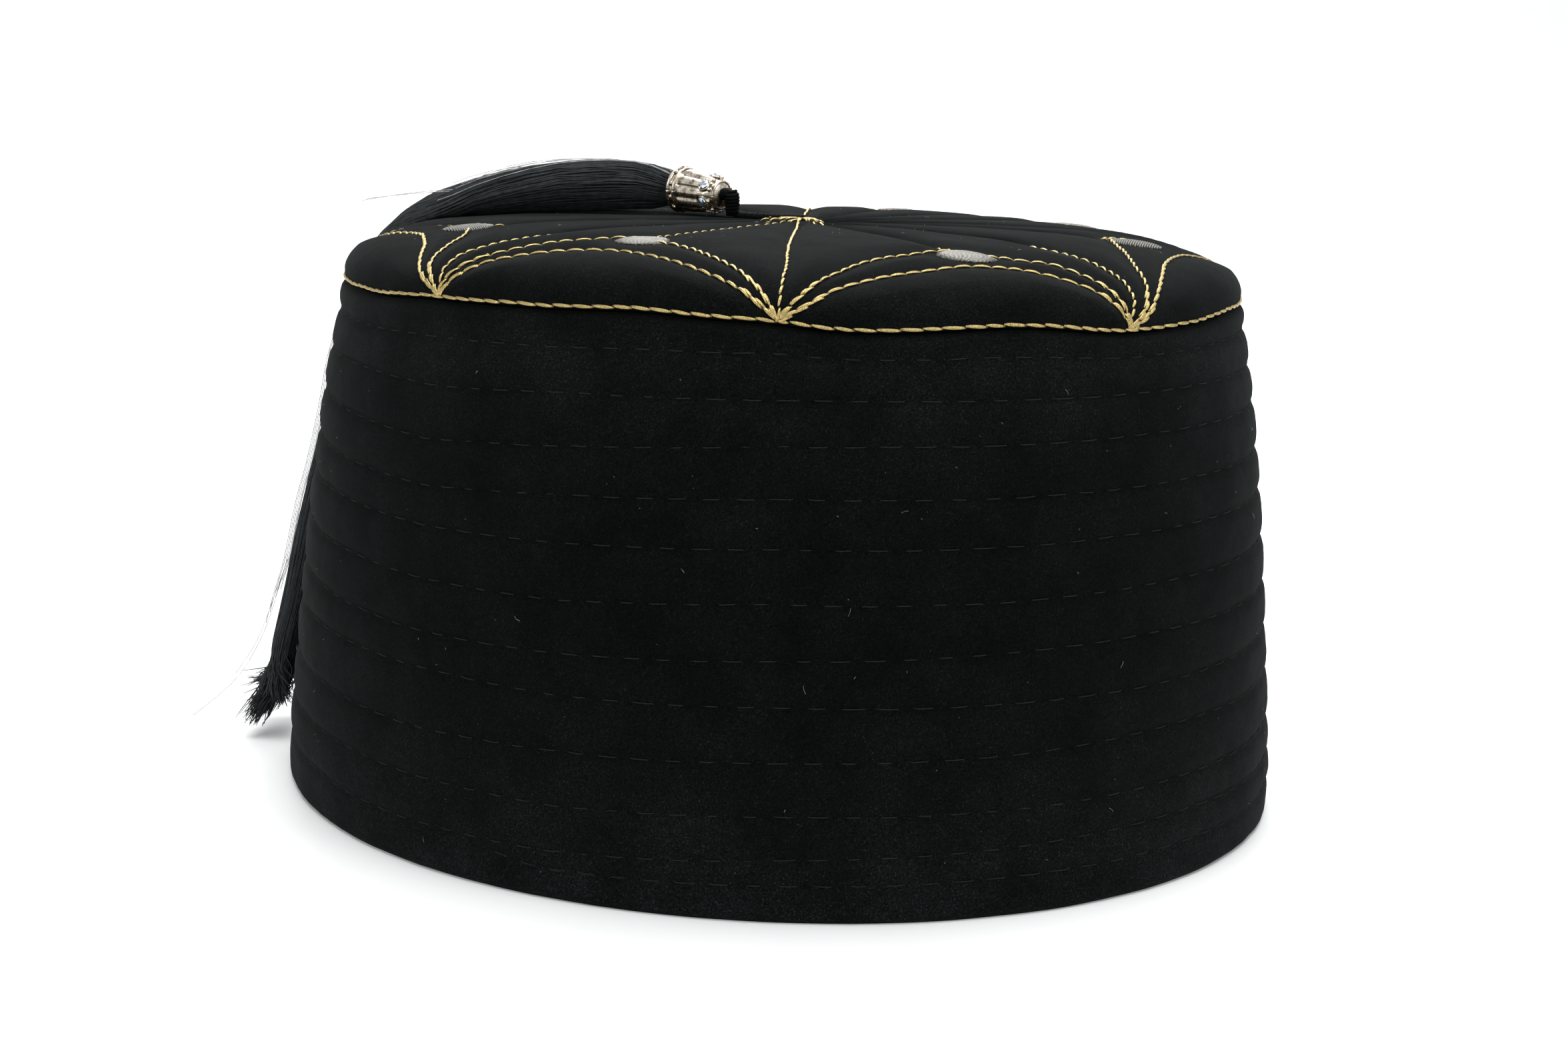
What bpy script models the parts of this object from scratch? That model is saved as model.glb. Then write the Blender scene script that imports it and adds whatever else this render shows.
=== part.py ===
# A round velvet fez: a quilted side band, a padded crown, and a tassel on a cord with a silver cap.
# Units are metres, +Z is up, the front is -Y, and the origin is the middle of the base.
import math

import bmesh
import bpy
from mathutils import Matrix, Vector
from mathutils.bvhtree import BVHTree

MM = 0.001
GAP = 0.3 * MM
WELD = 0.01 * MM
SHARP_ANGLE = math.radians(40)

# Plain colours for the bare solids: colour, roughness, metallic
VELVET = ((0.006, 0.007, 0.008), 0.95, 0.0)
CORD = ((0.008, 0.008, 0.009), 0.6, 0.0)
SILVER = ((0.75, 0.72, 0.68), 0.3, 1.0)

# The turned form, before it is made soft: heights above the base and radii of the outer face
RIM_HEIGHT = 97.0 * MM
SEAM_ROW = 94.0  # height mm, the top of the band
SEAM_HEIGHT = SEAM_ROW * MM
BAND_SECTION = (  # height mm, radius mm
    (0.0, 94.0), (8.0, 93.9), (18.0, 93.0), (36.0, 91.5), (53.0, 89.9), (69.0, 88.0),
    (77.6, 86.8), (84.6, 85.7), (90.9, 84.4), (SEAM_ROW, 82.5),
)
STITCH_ROWS = (6.1, 10.5, 17.7, 26.6, 35.6, 43.6, 52.6, 61.2, 69.3, 77.6, 84.6, 90.9)  # height mm
RIB_PUFF = 0.45 * MM
BAND_WALL = 3.0 * MM

# The padded crown: a flattened dome whose edge overhangs the band
CROWN_RADIUS = 84.0 * MM
CROWN_RISE = 10.5 * MM
CROWN_PLAN_POWER = 4.67
CROWN_RISE_POWER = 2.33
CROWN_EQUATOR = 97.3 * MM
CROWN_PAD = 3.5 * MM
PETALS = 8
FIRST_FAN = math.radians(-1.1)
ARC_DEPTH = 16.0 * MM
PETAL_PUFF = 0.8 * MM

# How the soft hat departs from the turned form
OVAL = 0.033
OVAL_AZIMUTH = math.radians(56)
LEAN = 0.9 * MM
FORWARD_TILT = 0.018
WAVE_START = 86.0 * MM
RIM_WAVE = (  # azimuth from the front towards +X in degrees, lift mm
    (-180, -0.3), (-158, 0.5), (-135, -0.6), (-112, 0.4), (-90, 0.4), (-64, 0.1), (-47, 0.85),
    (-32, 1.1), (-18, 1.55), (-6, 0.5), (9, -1.2), (26, -0.1), (43, -1.7), (53, -1.2), (66, 0.4),
    (90, 0.3), (112, -0.4), (135, -0.7), (158, 0.5), (180, -0.3),
)

# The tassel: a cord from the crown's middle, a silver cap with crystals, and a skein of strands
CORD_START = Vector((2.6, 2.4)) * MM
CORD_BEND = 1.2 * MM
CORD_RADIUS = 0.85 * MM
CORD_POINTS = 9
KNOT_ROOT = Vector((-10.35, 6.1, 108.05)) * MM
KNOT_SECTION = (  # height over its root mm, radius mm
    (0.0, 1.3), (0.8, 1.4), (3.4, 1.4), (4.3, 1.25), (4.9, 0.85), (5.2, 0.4),
)
CAP_NARROW_END = Vector((-12.3, 6.8, 112.0)) * MM
CAP_WIDE_END = Vector((-20.3, 13.4, 112.6)) * MM
CAP_PROFILE = (  # along the cap from its narrow end mm, radius mm
    (0.0, 1.8), (0.7, 2.4), (2.0, 3.1), (3.6, 3.6), (5.6, 4.0), (7.6, 4.2), (8.8, 4.15),
    (9.3, 3.95), (9.8, 4.25), (10.4, 4.25),
)
CAP_RECESS_RADIUS = 3.5 * MM
CAP_RECESS_DEPTH = 2.0 * MM
CAP_RIBS = 10
CAP_RIB_DEPTH = 0.035
CRYSTAL_RADIUS = 0.95 * MM
CRYSTAL_TABLE = 0.5 * MM
CRYSTAL_HEIGHT = 0.9 * MM
CRYSTAL_SIDES = 8
CRYSTAL_RINGS = (  # along the cap mm, body radius mm, turn of the ring as a part of one step
    (3.4, 3.6, 0.0), (6.6, 4.15, 0.5),
)
CRYSTALS_PER_RING = 6
SKEIN_ROUTE = (  # x mm, y mm, z mm, half width mm, half depth mm
    (-19.1, 12.4, 112.5, 2.9, 2.9), (-21.6, 14.4, 112.6, 3.1, 3.1), (-27.6, 15.6, 112.7, 4.9, 4.3),
    (-38.0, 14.6, 112.6, 5.8, 4.7), (-49.3, 14.2, 111.9, 6.2, 4.2), (-59.3, 17.2, 110.4, 6.4, 3.2),
    (-67.3, 23.8, 108.1, 7.0, 2.2), (-74.5, 31.0, 105.0, 7.4, 2.0), (-80.3, 38.0, 98.8, 7.8, 2.0),
    (-81.6, 38.6, 90.5, 7.8, 2.6), (-85.5, 35.6, 77.0, 7.5, 2.9), (-90.0, 31.2, 60.0, 7.2, 3.2),
    (-93.9, 27.2, 42.0, 7.2, 3.5), (-96.3, 23.6, 27.0, 7.6, 3.8), (-98.3, 21.5, 18.0, 7.4, 3.6),
)
SKEIN_INSIDE = Vector((0.0, 0.0, 60.0)) * MM
LOCKS = 9
LOCK_DEPTH = 0.08
LOCK_TWIST = 1.6
LOCK_TURN = 0.2
LOCK_ENDS = (  # place across the skein, place in its depth, tip x mm, tip y mm, tip z mm
    (-0.72, 0.0, -100.5, 31.0, 8.0), (-0.48, 0.25, -103.8, 28.0, 5.8), (-0.2, -0.3, -99.8, 24.0, 6.6),
    (0.0, 0.35, -106.0, 20.5, 7.2), (0.25, -0.25, -101.2, 17.0, 5.0), (0.5, 0.3, -106.4, 14.5, 3.6),
    (0.74, 0.0, -101.2, 10.0, 8.6),
)
LOCK_END_RADIUS = 2.1 * MM
LOCK_TIP_SHARE = 0.35
LOCK_KNOTS = 7
LOCK_OVERLAP = 4
SKEIN_CLEARANCE = 0.45 * MM

# How finely the solids are divided
BAND_STEPS = 64
CROWN_STEPS = 64
CROWN_RINGS = 14
CROWN_INNER_RINGS = 6
ROLL_STEPS = 3
CAP_STEPS = 40
CORD_FACETS = 2
KNOT_FACETS = 2
LOCK_FACETS = 1
SKEIN_AROUND = 27
SKEIN_SECTIONS = 35


def clear_scene():
    for item in list(bpy.data.objects):
        bpy.data.objects.remove(item, do_unlink=True)


def new_collection(name):
    group = bpy.data.collections.new(name)
    bpy.context.scene.collection.children.link(group)
    return group


def plain_material(name, colour, roughness, metallic):
    material = bpy.data.materials.new(name)
    material.use_nodes = True
    shader = material.node_tree.nodes["Principled BSDF"]
    shader.inputs["Base Color"].default_value = (*colour, 1.0)
    shader.inputs["Roughness"].default_value = roughness
    shader.inputs["Metallic"].default_value = metallic
    return material


def finish_part(part, group, material):
    """Puts a finished solid in the object's collection, with its material and smooth shading."""
    for holder in list(part.users_collection):
        holder.objects.unlink(part)
    group.objects.link(part)
    part.data.materials.clear()
    part.data.materials.append(material)
    part.data.shade_smooth()
    part.data.set_sharp_from_angle(angle=SHARP_ANGLE)


def evaluated_copy(source, name):
    """Makes a plain mesh object of what an object looks like with its modifiers, and removes it."""
    graph = bpy.context.evaluated_depsgraph_get()
    mesh = bpy.data.meshes.new_from_object(source.evaluated_get(graph))
    copy = bpy.data.objects.new(name, mesh)
    copy.matrix_world = source.matrix_world.copy()
    bpy.context.scene.collection.objects.link(copy)
    bpy.data.objects.remove(source, do_unlink=True)
    copy.name = name
    return copy


def turned(name, profile, steps):
    """Turns a profile of (radius, height) points about Z. It runs down the outer side first."""
    mesh = bpy.data.meshes.new(name)
    closed = profile[0][0] > 0
    edges = [(i, i + 1) for i in range(len(profile) - 1)]
    if closed:
        edges.append((len(profile) - 1, 0))
    mesh.from_pydata([(radius, 0, height) for radius, height in profile], edges, [])
    outline = bpy.data.objects.new(name + "_outline", mesh)
    bpy.context.scene.collection.objects.link(outline)
    screw = outline.modifiers.new("turn", "SCREW")
    screw.steps = steps
    screw.render_steps = steps
    screw.use_merge_vertices = True
    screw.merge_threshold = WELD
    bpy.context.view_layer.update()
    return evaluated_copy(outline, name)


def tube(name, points, radii, resolution):
    """Makes a closed round tube through the points, as a mesh."""
    curve = bpy.data.curves.new(name, "CURVE")
    curve.dimensions = "3D"
    curve.bevel_depth = 1.0
    curve.bevel_resolution = resolution
    curve.use_fill_caps = True
    spline = curve.splines.new("POLY")
    spline.points.add(len(points) - 1)
    for knot, place, radius in zip(spline.points, points, radii):
        knot.co = (*place, 1.0)
        knot.radius = radius
    holder = bpy.data.objects.new(name + "_curve", curve)
    bpy.context.scene.collection.objects.link(holder)
    bpy.context.view_layer.update()
    piece = evaluated_copy(holder, name)
    weld(piece)
    return piece


def weld(piece):
    cage = bmesh.new()
    cage.from_mesh(piece.data)
    bmesh.ops.remove_doubles(cage, verts=cage.verts, dist=WELD)
    bmesh.ops.recalc_face_normals(cage, faces=cage.faces)
    cage.to_mesh(piece.data)
    cage.free()


def join_solids(body, additions):
    """Fuses closed solids into one with Boolean unions, and removes the additions."""
    for number, addition in enumerate(additions):
        cut = body.modifiers.new("join_%d" % number, "BOOLEAN")
        cut.operation = "UNION"
        cut.solver = "EXACT"
        cut.object = addition
    bpy.context.view_layer.update()
    fused = evaluated_copy(body, body.name)
    for addition in additions:
        bpy.data.objects.remove(addition, do_unlink=True)
    fill_pockets(fused)
    return fused


def fill_pockets(piece):
    """Fills the small pockets that joined solids close in: only the outer skin is kept."""
    cage = bmesh.new()
    cage.from_mesh(piece.data)
    waiting = set(cage.verts)
    skins = []
    while waiting:
        skin = set()
        edge_of_skin = [waiting.pop()]
        while edge_of_skin:
            vertex = edge_of_skin.pop()
            skin.add(vertex)
            for edge in vertex.link_edges:
                other = edge.other_vert(vertex)
                if other in waiting:
                    waiting.remove(other)
                    edge_of_skin.append(other)
        skins.append(skin)
    largest = max(skins, key=len)
    inner = [vertex for vertex in cage.verts if vertex not in largest]
    bmesh.ops.delete(cage, geom=inner, context="VERTS")
    cage.to_mesh(piece.data)
    cage.free()


def between(table, value):
    """Reads a table of (place, size) rows, linear between its rows."""
    rows = sorted(table)
    if value <= rows[0][0]:
        return rows[0][1]
    for (low, first), (high, last) in zip(rows, rows[1:]):
        if value <= high:
            return first + (last - first) * (value - low) / (high - low)
    return rows[-1][1]


def ease(share):
    share = min(max(share, 0.0), 1.0)
    return share * share * (3 - 2 * share)


def rim_wave(azimuth):
    """The uneven height of the rim, eased between the rows of its table."""
    degrees = math.degrees(azimuth)
    for (low, first), (high, last) in zip(RIM_WAVE, RIM_WAVE[1:]):
        if degrees <= high:
            return (first + (last - first) * ease((degrees - low) / (high - low))) * MM
    return RIM_WAVE[-1][1] * MM


def soft_place(point):
    """Moves a point of the turned form to where it is on the soft hat."""
    radius = math.hypot(point.x, point.y)
    azimuth = math.atan2(point.x, -point.y)
    share = point.z / RIM_HEIGHT
    wide = radius * (1 + OVAL * math.cos(2 * (azimuth - OVAL_AZIMUTH)))
    x = wide * math.sin(azimuth) + LEAN * share
    y = -wide * math.cos(azimuth)
    wave = rim_wave(azimuth) * ease((point.z - WAVE_START) / (RIM_HEIGHT - WAVE_START))
    z = point.z - share * FORWARD_TILT * y + wave * (radius / CROWN_RADIUS) ** 4
    return Vector((x, y, z))


def outer_faces(supports):
    """A search tree of the faces of the hat that look outward."""
    cage = bmesh.new()
    for support in supports:
        cage.from_mesh(support.data)
    inward = [
        face for face in cage.faces
        if face.normal.dot(face.calc_center_median() - SKEIN_INSIDE) < 0
    ]
    bmesh.ops.delete(cage, geom=inward, context="FACES")
    tree = BVHTree.FromBMesh(cage)
    cage.free()
    return tree


def lie_on(piece, tree, clearance):
    """Flattens a soft piece where it lies: no vertex stays nearer to the hat than the clearance."""
    for vertex in piece.data.vertices:
        nearest, normal, _, distance = tree.find_nearest(vertex.co)
        inside = (vertex.co - nearest).dot(normal) < 0
        if inside or distance < clearance:
            vertex.co = nearest + normal * clearance


def make_soft(piece):
    for vertex in piece.data.vertices:
        vertex.co = soft_place(vertex.co)


def dome_point(share, radius, equator, rise):
    """A point (radius, height) of the crown's dome, from its middle at 0 to its equator at 1."""
    angle = share * math.pi / 2
    across = radius * math.sin(angle) ** (2 / CROWN_PLAN_POWER)
    height = equator + rise * math.cos(angle) ** (2 / CROWN_RISE_POWER)
    return across, height


def petal_puff(radius, azimuth):
    """The padding that stands up between the rim and each lower arc of the embroidery."""
    turn = ((azimuth - FIRST_FAN) * PETALS / (2 * math.pi)) % 1.0
    reach = ARC_DEPTH * math.sin(math.pi * turn)
    inward = CROWN_RADIUS - radius
    if reach <= 0 or inward <= 0 or inward >= reach:
        return 0.0
    return PETAL_PUFF * math.sin(math.pi * inward / reach) * math.sin(math.pi * turn)


def smooth_route(rows, count):
    """Reads rows of numbers as a smooth curve through them, at evenly spaced places."""
    result = []
    for number in range(count):
        place = number * (len(rows) - 1) / (count - 1)
        index = min(int(place), len(rows) - 2)
        t = place - index
        p0 = rows[max(index - 1, 0)]
        p1 = rows[index]
        p2 = rows[index + 1]
        p3 = rows[min(index + 2, len(rows) - 1)]
        row = []
        for a, b, c, d in zip(p0, p1, p2, p3):
            bend = (c - a) * t + (2 * a - 5 * b + 4 * c - d) * t ** 2 + (3 * b - a - 3 * c + d) * t ** 3
            row.append(b + bend / 2)
        result.append(row)
    return result


def build_band(group, material):
    """The side band: a conical wall puffed between its rows of quilting stitches."""
    outer = [(between(BAND_SECTION, SEAM_ROW) * MM, SEAM_HEIGHT)]
    heights = sorted(STITCH_ROWS, reverse=True)
    for upper, lower in zip(heights, heights[1:]):
        outer.append((between(BAND_SECTION, upper) * MM, upper * MM))
        middle = (upper + lower) / 2
        outer.append((between(BAND_SECTION, middle) * MM + RIB_PUFF, middle * MM))
    outer.append((between(BAND_SECTION, heights[-1]) * MM, heights[-1] * MM))
    outer.append((between(BAND_SECTION, 0.0) * MM, 0.0))
    inner = [(between(BAND_SECTION, 0.0) * MM - BAND_WALL, 0.0)]
    for height, radius in BAND_SECTION[1:]:
        inner.append((radius * MM - BAND_WALL, height * MM))
    band = turned("band", outer + inner, BAND_STEPS)
    make_soft(band)
    finish_part(band, group, material)
    return band


def build_crown(group, material):
    """The crown: a padded dome with eight raised petals and an edge that overhangs the band."""
    outer = [
        dome_point(ring / CROWN_RINGS, CROWN_RADIUS, CROWN_EQUATOR, CROWN_RISE)
        for ring in range(CROWN_RINGS + 1)
    ]
    seam_radius = between(BAND_SECTION, SEAM_ROW) * MM
    underside = SEAM_HEIGHT + GAP
    for step in range(1, ROLL_STEPS + 1):
        angle = step / ROLL_STEPS * math.pi / 2
        radius = seam_radius + (CROWN_RADIUS - seam_radius) * math.cos(angle)
        outer.append((radius, CROWN_EQUATOR - (CROWN_EQUATOR - underside) * math.sin(angle)))
    inner_radius = seam_radius - BAND_WALL
    inner_rise = CROWN_EQUATOR + CROWN_RISE - CROWN_PAD - underside
    inner = [
        dome_point(1 - ring / CROWN_INNER_RINGS, inner_radius, underside, inner_rise)
        for ring in range(CROWN_INNER_RINGS + 1)
    ]
    outline = outer + inner
    outline[0] = (0.0, outline[0][1])
    outline[-1] = (0.0, outline[-1][1])
    crown = turned("crown", outline, CROWN_STEPS)
    dome_base = CROWN_EQUATOR - CROWN_PAD / 2
    for vertex in crown.data.vertices:
        radius = math.hypot(vertex.co.x, vertex.co.y)
        on_top = vertex.co.z > dome_base and is_outer_face(radius, vertex.co.z)
        if on_top:
            vertex.co.z += petal_puff(radius, math.atan2(vertex.co.x, -vertex.co.y))
    make_soft(crown)
    finish_part(crown, group, material)
    return crown


def is_outer_face(radius, height):
    """Tells the crown's outer face from its inner one, halfway through the padding."""
    share = min(radius / CROWN_RADIUS, 1.0) ** CROWN_PLAN_POWER
    top = CROWN_EQUATOR + CROWN_RISE * (1 - share) ** (1 / CROWN_RISE_POWER)
    return height > top - CROWN_PAD / 2


def build_cord(group, material):
    """The cord: it lies on the crown from its middle to a knot beside the cap's narrow end."""
    heights = [KNOT_ROOT + Vector((0, 0, height * MM)) for height, _ in KNOT_SECTION]
    knot = tube("tassel_cord", heights, [radius * MM for _, radius in KNOT_SECTION], KNOT_FACETS)
    run = []
    for number in range(CORD_POINTS):
        share = number / (CORD_POINTS - 1)
        place = CORD_START.lerp(KNOT_ROOT.to_2d(), share)
        bend = CORD_BEND * math.sin(math.pi * share)
        on_crown = soft_place(Vector((place.x, place.y - bend, CROWN_EQUATOR + CROWN_RISE)))
        run.append(on_crown + Vector((0, 0, GAP + CORD_RADIUS)))
    lying = tube("cord_run", run, [CORD_RADIUS] * CORD_POINTS, CORD_FACETS)
    finish_part(join_solids(knot, [lying]), group, material)


def crystal(name, frame, along, body_radius, turn):
    """A round cut stone: eight crown facets round a flat table, facing out of the cap."""
    cage = bmesh.new()
    bmesh.ops.create_cone(
        cage, cap_ends=True, segments=CRYSTAL_SIDES, radius1=CRYSTAL_RADIUS,
        radius2=CRYSTAL_TABLE, depth=CRYSTAL_HEIGHT,
    )
    mesh = bpy.data.meshes.new(name)
    cage.to_mesh(mesh)
    cage.free()
    stone = bpy.data.objects.new(name, mesh)
    bpy.context.scene.collection.objects.link(stone)
    outward = Matrix.Rotation(turn, 4, "Z") @ Matrix.Translation((body_radius, 0, along))
    stone.matrix_world = frame @ outward @ Matrix.Rotation(math.pi / 2, 4, "Y")
    return stone


def build_cap(group, material):
    """The silver cap: a ribbed bell with a recess for the skein and two rings of crystals."""
    length = CAP_PROFILE[-1][0] * MM
    floor = length - CAP_RECESS_DEPTH
    profile = [(0.0, floor), (CAP_RECESS_RADIUS, floor), (CAP_RECESS_RADIUS, length)]
    profile += [(radius * MM, along * MM) for along, radius in reversed(CAP_PROFILE)]
    profile.append((0.0, 0.0))
    cap = turned("tassel_cap", profile, CAP_STEPS)
    for vertex in cap.data.vertices:
        radius = math.hypot(vertex.co.x, vertex.co.y)
        if radius > CAP_RECESS_RADIUS or vertex.co.z < floor:
            angle = math.atan2(vertex.co.y, vertex.co.x)
            swell = 1 + CAP_RIB_DEPTH * math.cos(CAP_RIBS * angle) * (vertex.co.z < floor)
            vertex.co.x *= swell
            vertex.co.y *= swell
    axis = (CAP_WIDE_END - CAP_NARROW_END).normalized()
    frame = Matrix.Translation(CAP_NARROW_END) @ axis.to_track_quat("Z", "Y").to_matrix().to_4x4()
    cap.matrix_world = frame
    stones = []
    for along, body_radius, shift in CRYSTAL_RINGS:
        for number in range(CRYSTALS_PER_RING):
            turn = (number + shift) * 2 * math.pi / CRYSTALS_PER_RING
            stones.append(crystal("crystal", frame, along * MM, body_radius * MM, turn))
    bpy.context.view_layer.update()
    cap = join_solids(cap, stones)
    finish_part(cap, group, material)


def skein_frame(places, index):
    """The skein's axes at one section: across it, and away from the hat."""
    before = places[max(index - 1, 0)]
    after = places[min(index + 1, len(places) - 1)]
    along = (after - before).normalized()
    away = places[index] - SKEIN_INSIDE
    away = (away - away.dot(along) * along).normalized()
    return along.cross(away), away


def build_skein(group, material, supports):
    """The skein: one lofted body of nine locks from its head to its lower end, with free lock ends.
    It lies on the supports."""
    rows = smooth_route(SKEIN_ROUTE, SKEIN_SECTIONS)
    places = [Vector(row[:3]) * MM for row in rows]
    cage = bmesh.new()
    loops = []
    for index, row in enumerate(rows):
        across, away = skein_frame(places, index)
        loop = []
        for step in range(SKEIN_AROUND):
            angle = 2 * math.pi * step / SKEIN_AROUND
            twist = LOCK_TWIST * math.sin(index * LOCK_TURN)
            lock = 1 + LOCK_DEPTH * math.cos(LOCKS * angle + twist)
            side = across * (row[3] * MM * math.cos(angle) * lock)
            out = away * (row[4] * MM * math.sin(angle) * lock)
            loop.append(cage.verts.new(places[index] + side + out))
        loops.append(loop)
    for first, second in zip(loops, loops[1:]):
        for step in range(SKEIN_AROUND):
            following = (step + 1) % SKEIN_AROUND
            cage.faces.new((first[step], first[following], second[following], second[step]))
    cage.faces.new(loops[0])
    cage.faces.new(loops[-1])
    bmesh.ops.recalc_face_normals(cage, faces=cage.faces)
    mesh = bpy.data.meshes.new("tassel_skein")
    cage.to_mesh(mesh)
    cage.free()
    skein = bpy.data.objects.new("tassel_skein", mesh)
    bpy.context.scene.collection.objects.link(skein)
    hat = outer_faces(supports)
    lie_on(skein, hat, SKEIN_CLEARANCE)
    skein = join_solids(skein, lock_ends(rows, places))
    lie_on(skein, hat, SKEIN_CLEARANCE)
    finish_part(skein, group, material)


def lock_ends(rows, places):
    """The free ends of the locks: tapered tubes that start inside the skein's lower end."""
    across, away = skein_frame(places, len(places) - 1)
    start_index = len(places) - LOCK_OVERLAP
    ends = []
    for place_across, place_away, x, y, z in LOCK_ENDS:
        width, depth = rows[-1][3] * MM, rows[-1][4] * MM
        offset = across * (place_across * width) + away * (place_away * depth)
        start = places[start_index] + offset
        middle = places[-1] + offset
        tip = Vector((x, y, z)) * MM
        rows_of_end = [list(start), list(middle), list((middle + tip) / 2), list(tip)]
        knots = smooth_route(rows_of_end, LOCK_KNOTS)
        shares = [number / (LOCK_KNOTS - 1) for number in range(LOCK_KNOTS)]
        radii = [LOCK_END_RADIUS * (1 - (1 - LOCK_TIP_SHARE) * ease(share)) for share in shares]
        ends.append(tube("lock_end", [Vector(knot) for knot in knots], radii, LOCK_FACETS))
    return ends


def main():
    clear_scene()
    group = new_collection("fez")
    velvet = plain_material("black_velvet", *VELVET)
    cord = plain_material("black_cord", *CORD)
    silver = plain_material("silver", *SILVER)
    band = build_band(group, velvet)
    crown = build_crown(group, velvet)
    build_cord(group, cord)
    build_cap(group, silver)
    build_skein(group, cord, (band, crown))


main()
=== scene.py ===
import math
import random

import bmesh
import bpy
from mathutils import Matrix, Vector, noise
from mathutils.bvhtree import BVHTree
from mathutils.kdtree import KDTree


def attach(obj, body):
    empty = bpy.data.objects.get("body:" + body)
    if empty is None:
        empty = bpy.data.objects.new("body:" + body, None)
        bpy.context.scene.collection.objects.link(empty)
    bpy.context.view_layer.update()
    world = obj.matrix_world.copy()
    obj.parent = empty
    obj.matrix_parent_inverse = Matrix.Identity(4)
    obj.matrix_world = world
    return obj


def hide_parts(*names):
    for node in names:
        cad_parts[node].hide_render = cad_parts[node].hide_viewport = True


MM = 0.001
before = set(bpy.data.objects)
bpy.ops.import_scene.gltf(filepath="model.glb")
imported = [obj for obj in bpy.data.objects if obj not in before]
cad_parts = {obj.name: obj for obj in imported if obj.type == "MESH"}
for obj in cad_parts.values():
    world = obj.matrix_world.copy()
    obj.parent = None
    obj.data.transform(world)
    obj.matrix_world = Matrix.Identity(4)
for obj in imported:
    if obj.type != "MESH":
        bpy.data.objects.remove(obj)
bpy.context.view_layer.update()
BODY = "root"

# The camera, set by the photograph, and the stage
CAMERA_PLACE = Vector((0.0, -0.5200, 0.1527))
CAMERA_DOWN = 0.1965
CAMERA_TURN = 0.0019
CAMERA_ROLL = 0.0219
CAMERA_LENS = 62.35
SENSOR_WIDTH = 36.0
FLOOR_RADII = (0.02, 0.15, 0.4, 0.9, 1.6, 2.4, 3.2)
FLOOR_SWEEP = 0.8
FLOOR_STEPS = 64
BACKDROP_HEIGHT = 3.2
MIX_COLOURS = (6, 7)  # the places of a mix node's colours among its inputs, whose names are shared
MIX_RESULT = 2
VELVET_TOP = 0.1

# The turned form of the hat, as in the CAD source
RIM_HEIGHT = 97.0 * MM
SEAM_ROW = 94.0
SEAM_HEIGHT = SEAM_ROW * MM
BAND_SECTION = (  # height mm, radius mm
    (0.0, 94.0), (8.0, 93.9), (18.0, 93.0), (36.0, 91.5), (53.0, 89.9), (69.0, 88.0),
    (77.6, 86.8), (84.6, 85.7), (90.9, 84.4), (SEAM_ROW, 82.5),
)
STITCH_ROWS = (6.1, 10.5, 17.7, 26.6, 35.6, 43.6, 52.6, 61.2, 69.3, 77.6, 84.6, 90.9)  # height mm
BAND_WALL = 3.0 * MM
CROWN_RADIUS = 84.0 * MM
CROWN_RISE = 10.5 * MM
CROWN_PLAN_POWER = 4.67
CROWN_RISE_POWER = 2.33
CROWN_EQUATOR = 97.3 * MM
CROWN_PAD = 3.5 * MM
BAND_FACE = BAND_SECTION[:-1] + ((SEAM_ROW, 84.1),)
BAND_LIP = (  # the band's top edge, drawn up to the rim's stitches: height mm, radius mm
    (94.6, 84.5), (95.2, 84.35), (95.7, 84.05), (96.1, 83.6), (96.35, 83.1), (96.4, 82.8),
    (96.2, 82.55), (95.2, 82.45), (94.2, 82.45),
)
CROWN_ROLL = (  # the crown's tucked edge under the rim's stitches: drop mm, radius mm
    (0.12, 83.8), (0.3, 83.35), (0.5, 82.75), (0.7, 82.2), (1.0, 81.95), (1.6, 81.9), (2.3, 81.9),
    (3.0, 81.9),
)
GAP = 0.3 * MM
CROWN_STEPS = 600
CROWN_RINGS = 46
CROWN_RING_STEP = 1.25 * MM
CROWN_EDGE_RINGS = 64
CEILING_RINGS = 12
BAND_STEPS = 560
BAND_FOOT = (0.0, 0.12, 0.4, 0.8, 1.3)  # the lowest rings, mm
BAND_RING_STEP = 0.78  # mm
BAND_TUCK = 0.7 * MM

# How the soft hat departs from the turned form
OVAL = 0.033
OVAL_AZIMUTH = math.radians(56)
LEAN = 0.9 * MM
FORWARD_TILT = 0.018
WAVE_START = 86.0 * MM
RIM_WAVE = (  # azimuth from the front towards +X in degrees, lift mm
    (-180, -0.3), (-158, 0.5), (-135, -0.6), (-112, 0.0), (-90, -0.7), (-64, -0.8), (-47, 0.2),
    (-32, 0.6), (-18, 1.2), (-6, 0.4), (9, -1.2), (26, -0.4), (43, -2.2), (53, -1.9), (66, -0.9),
    (90, -0.9), (112, -0.6), (135, -0.7), (158, 0.5), (180, -0.3),
)

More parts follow.
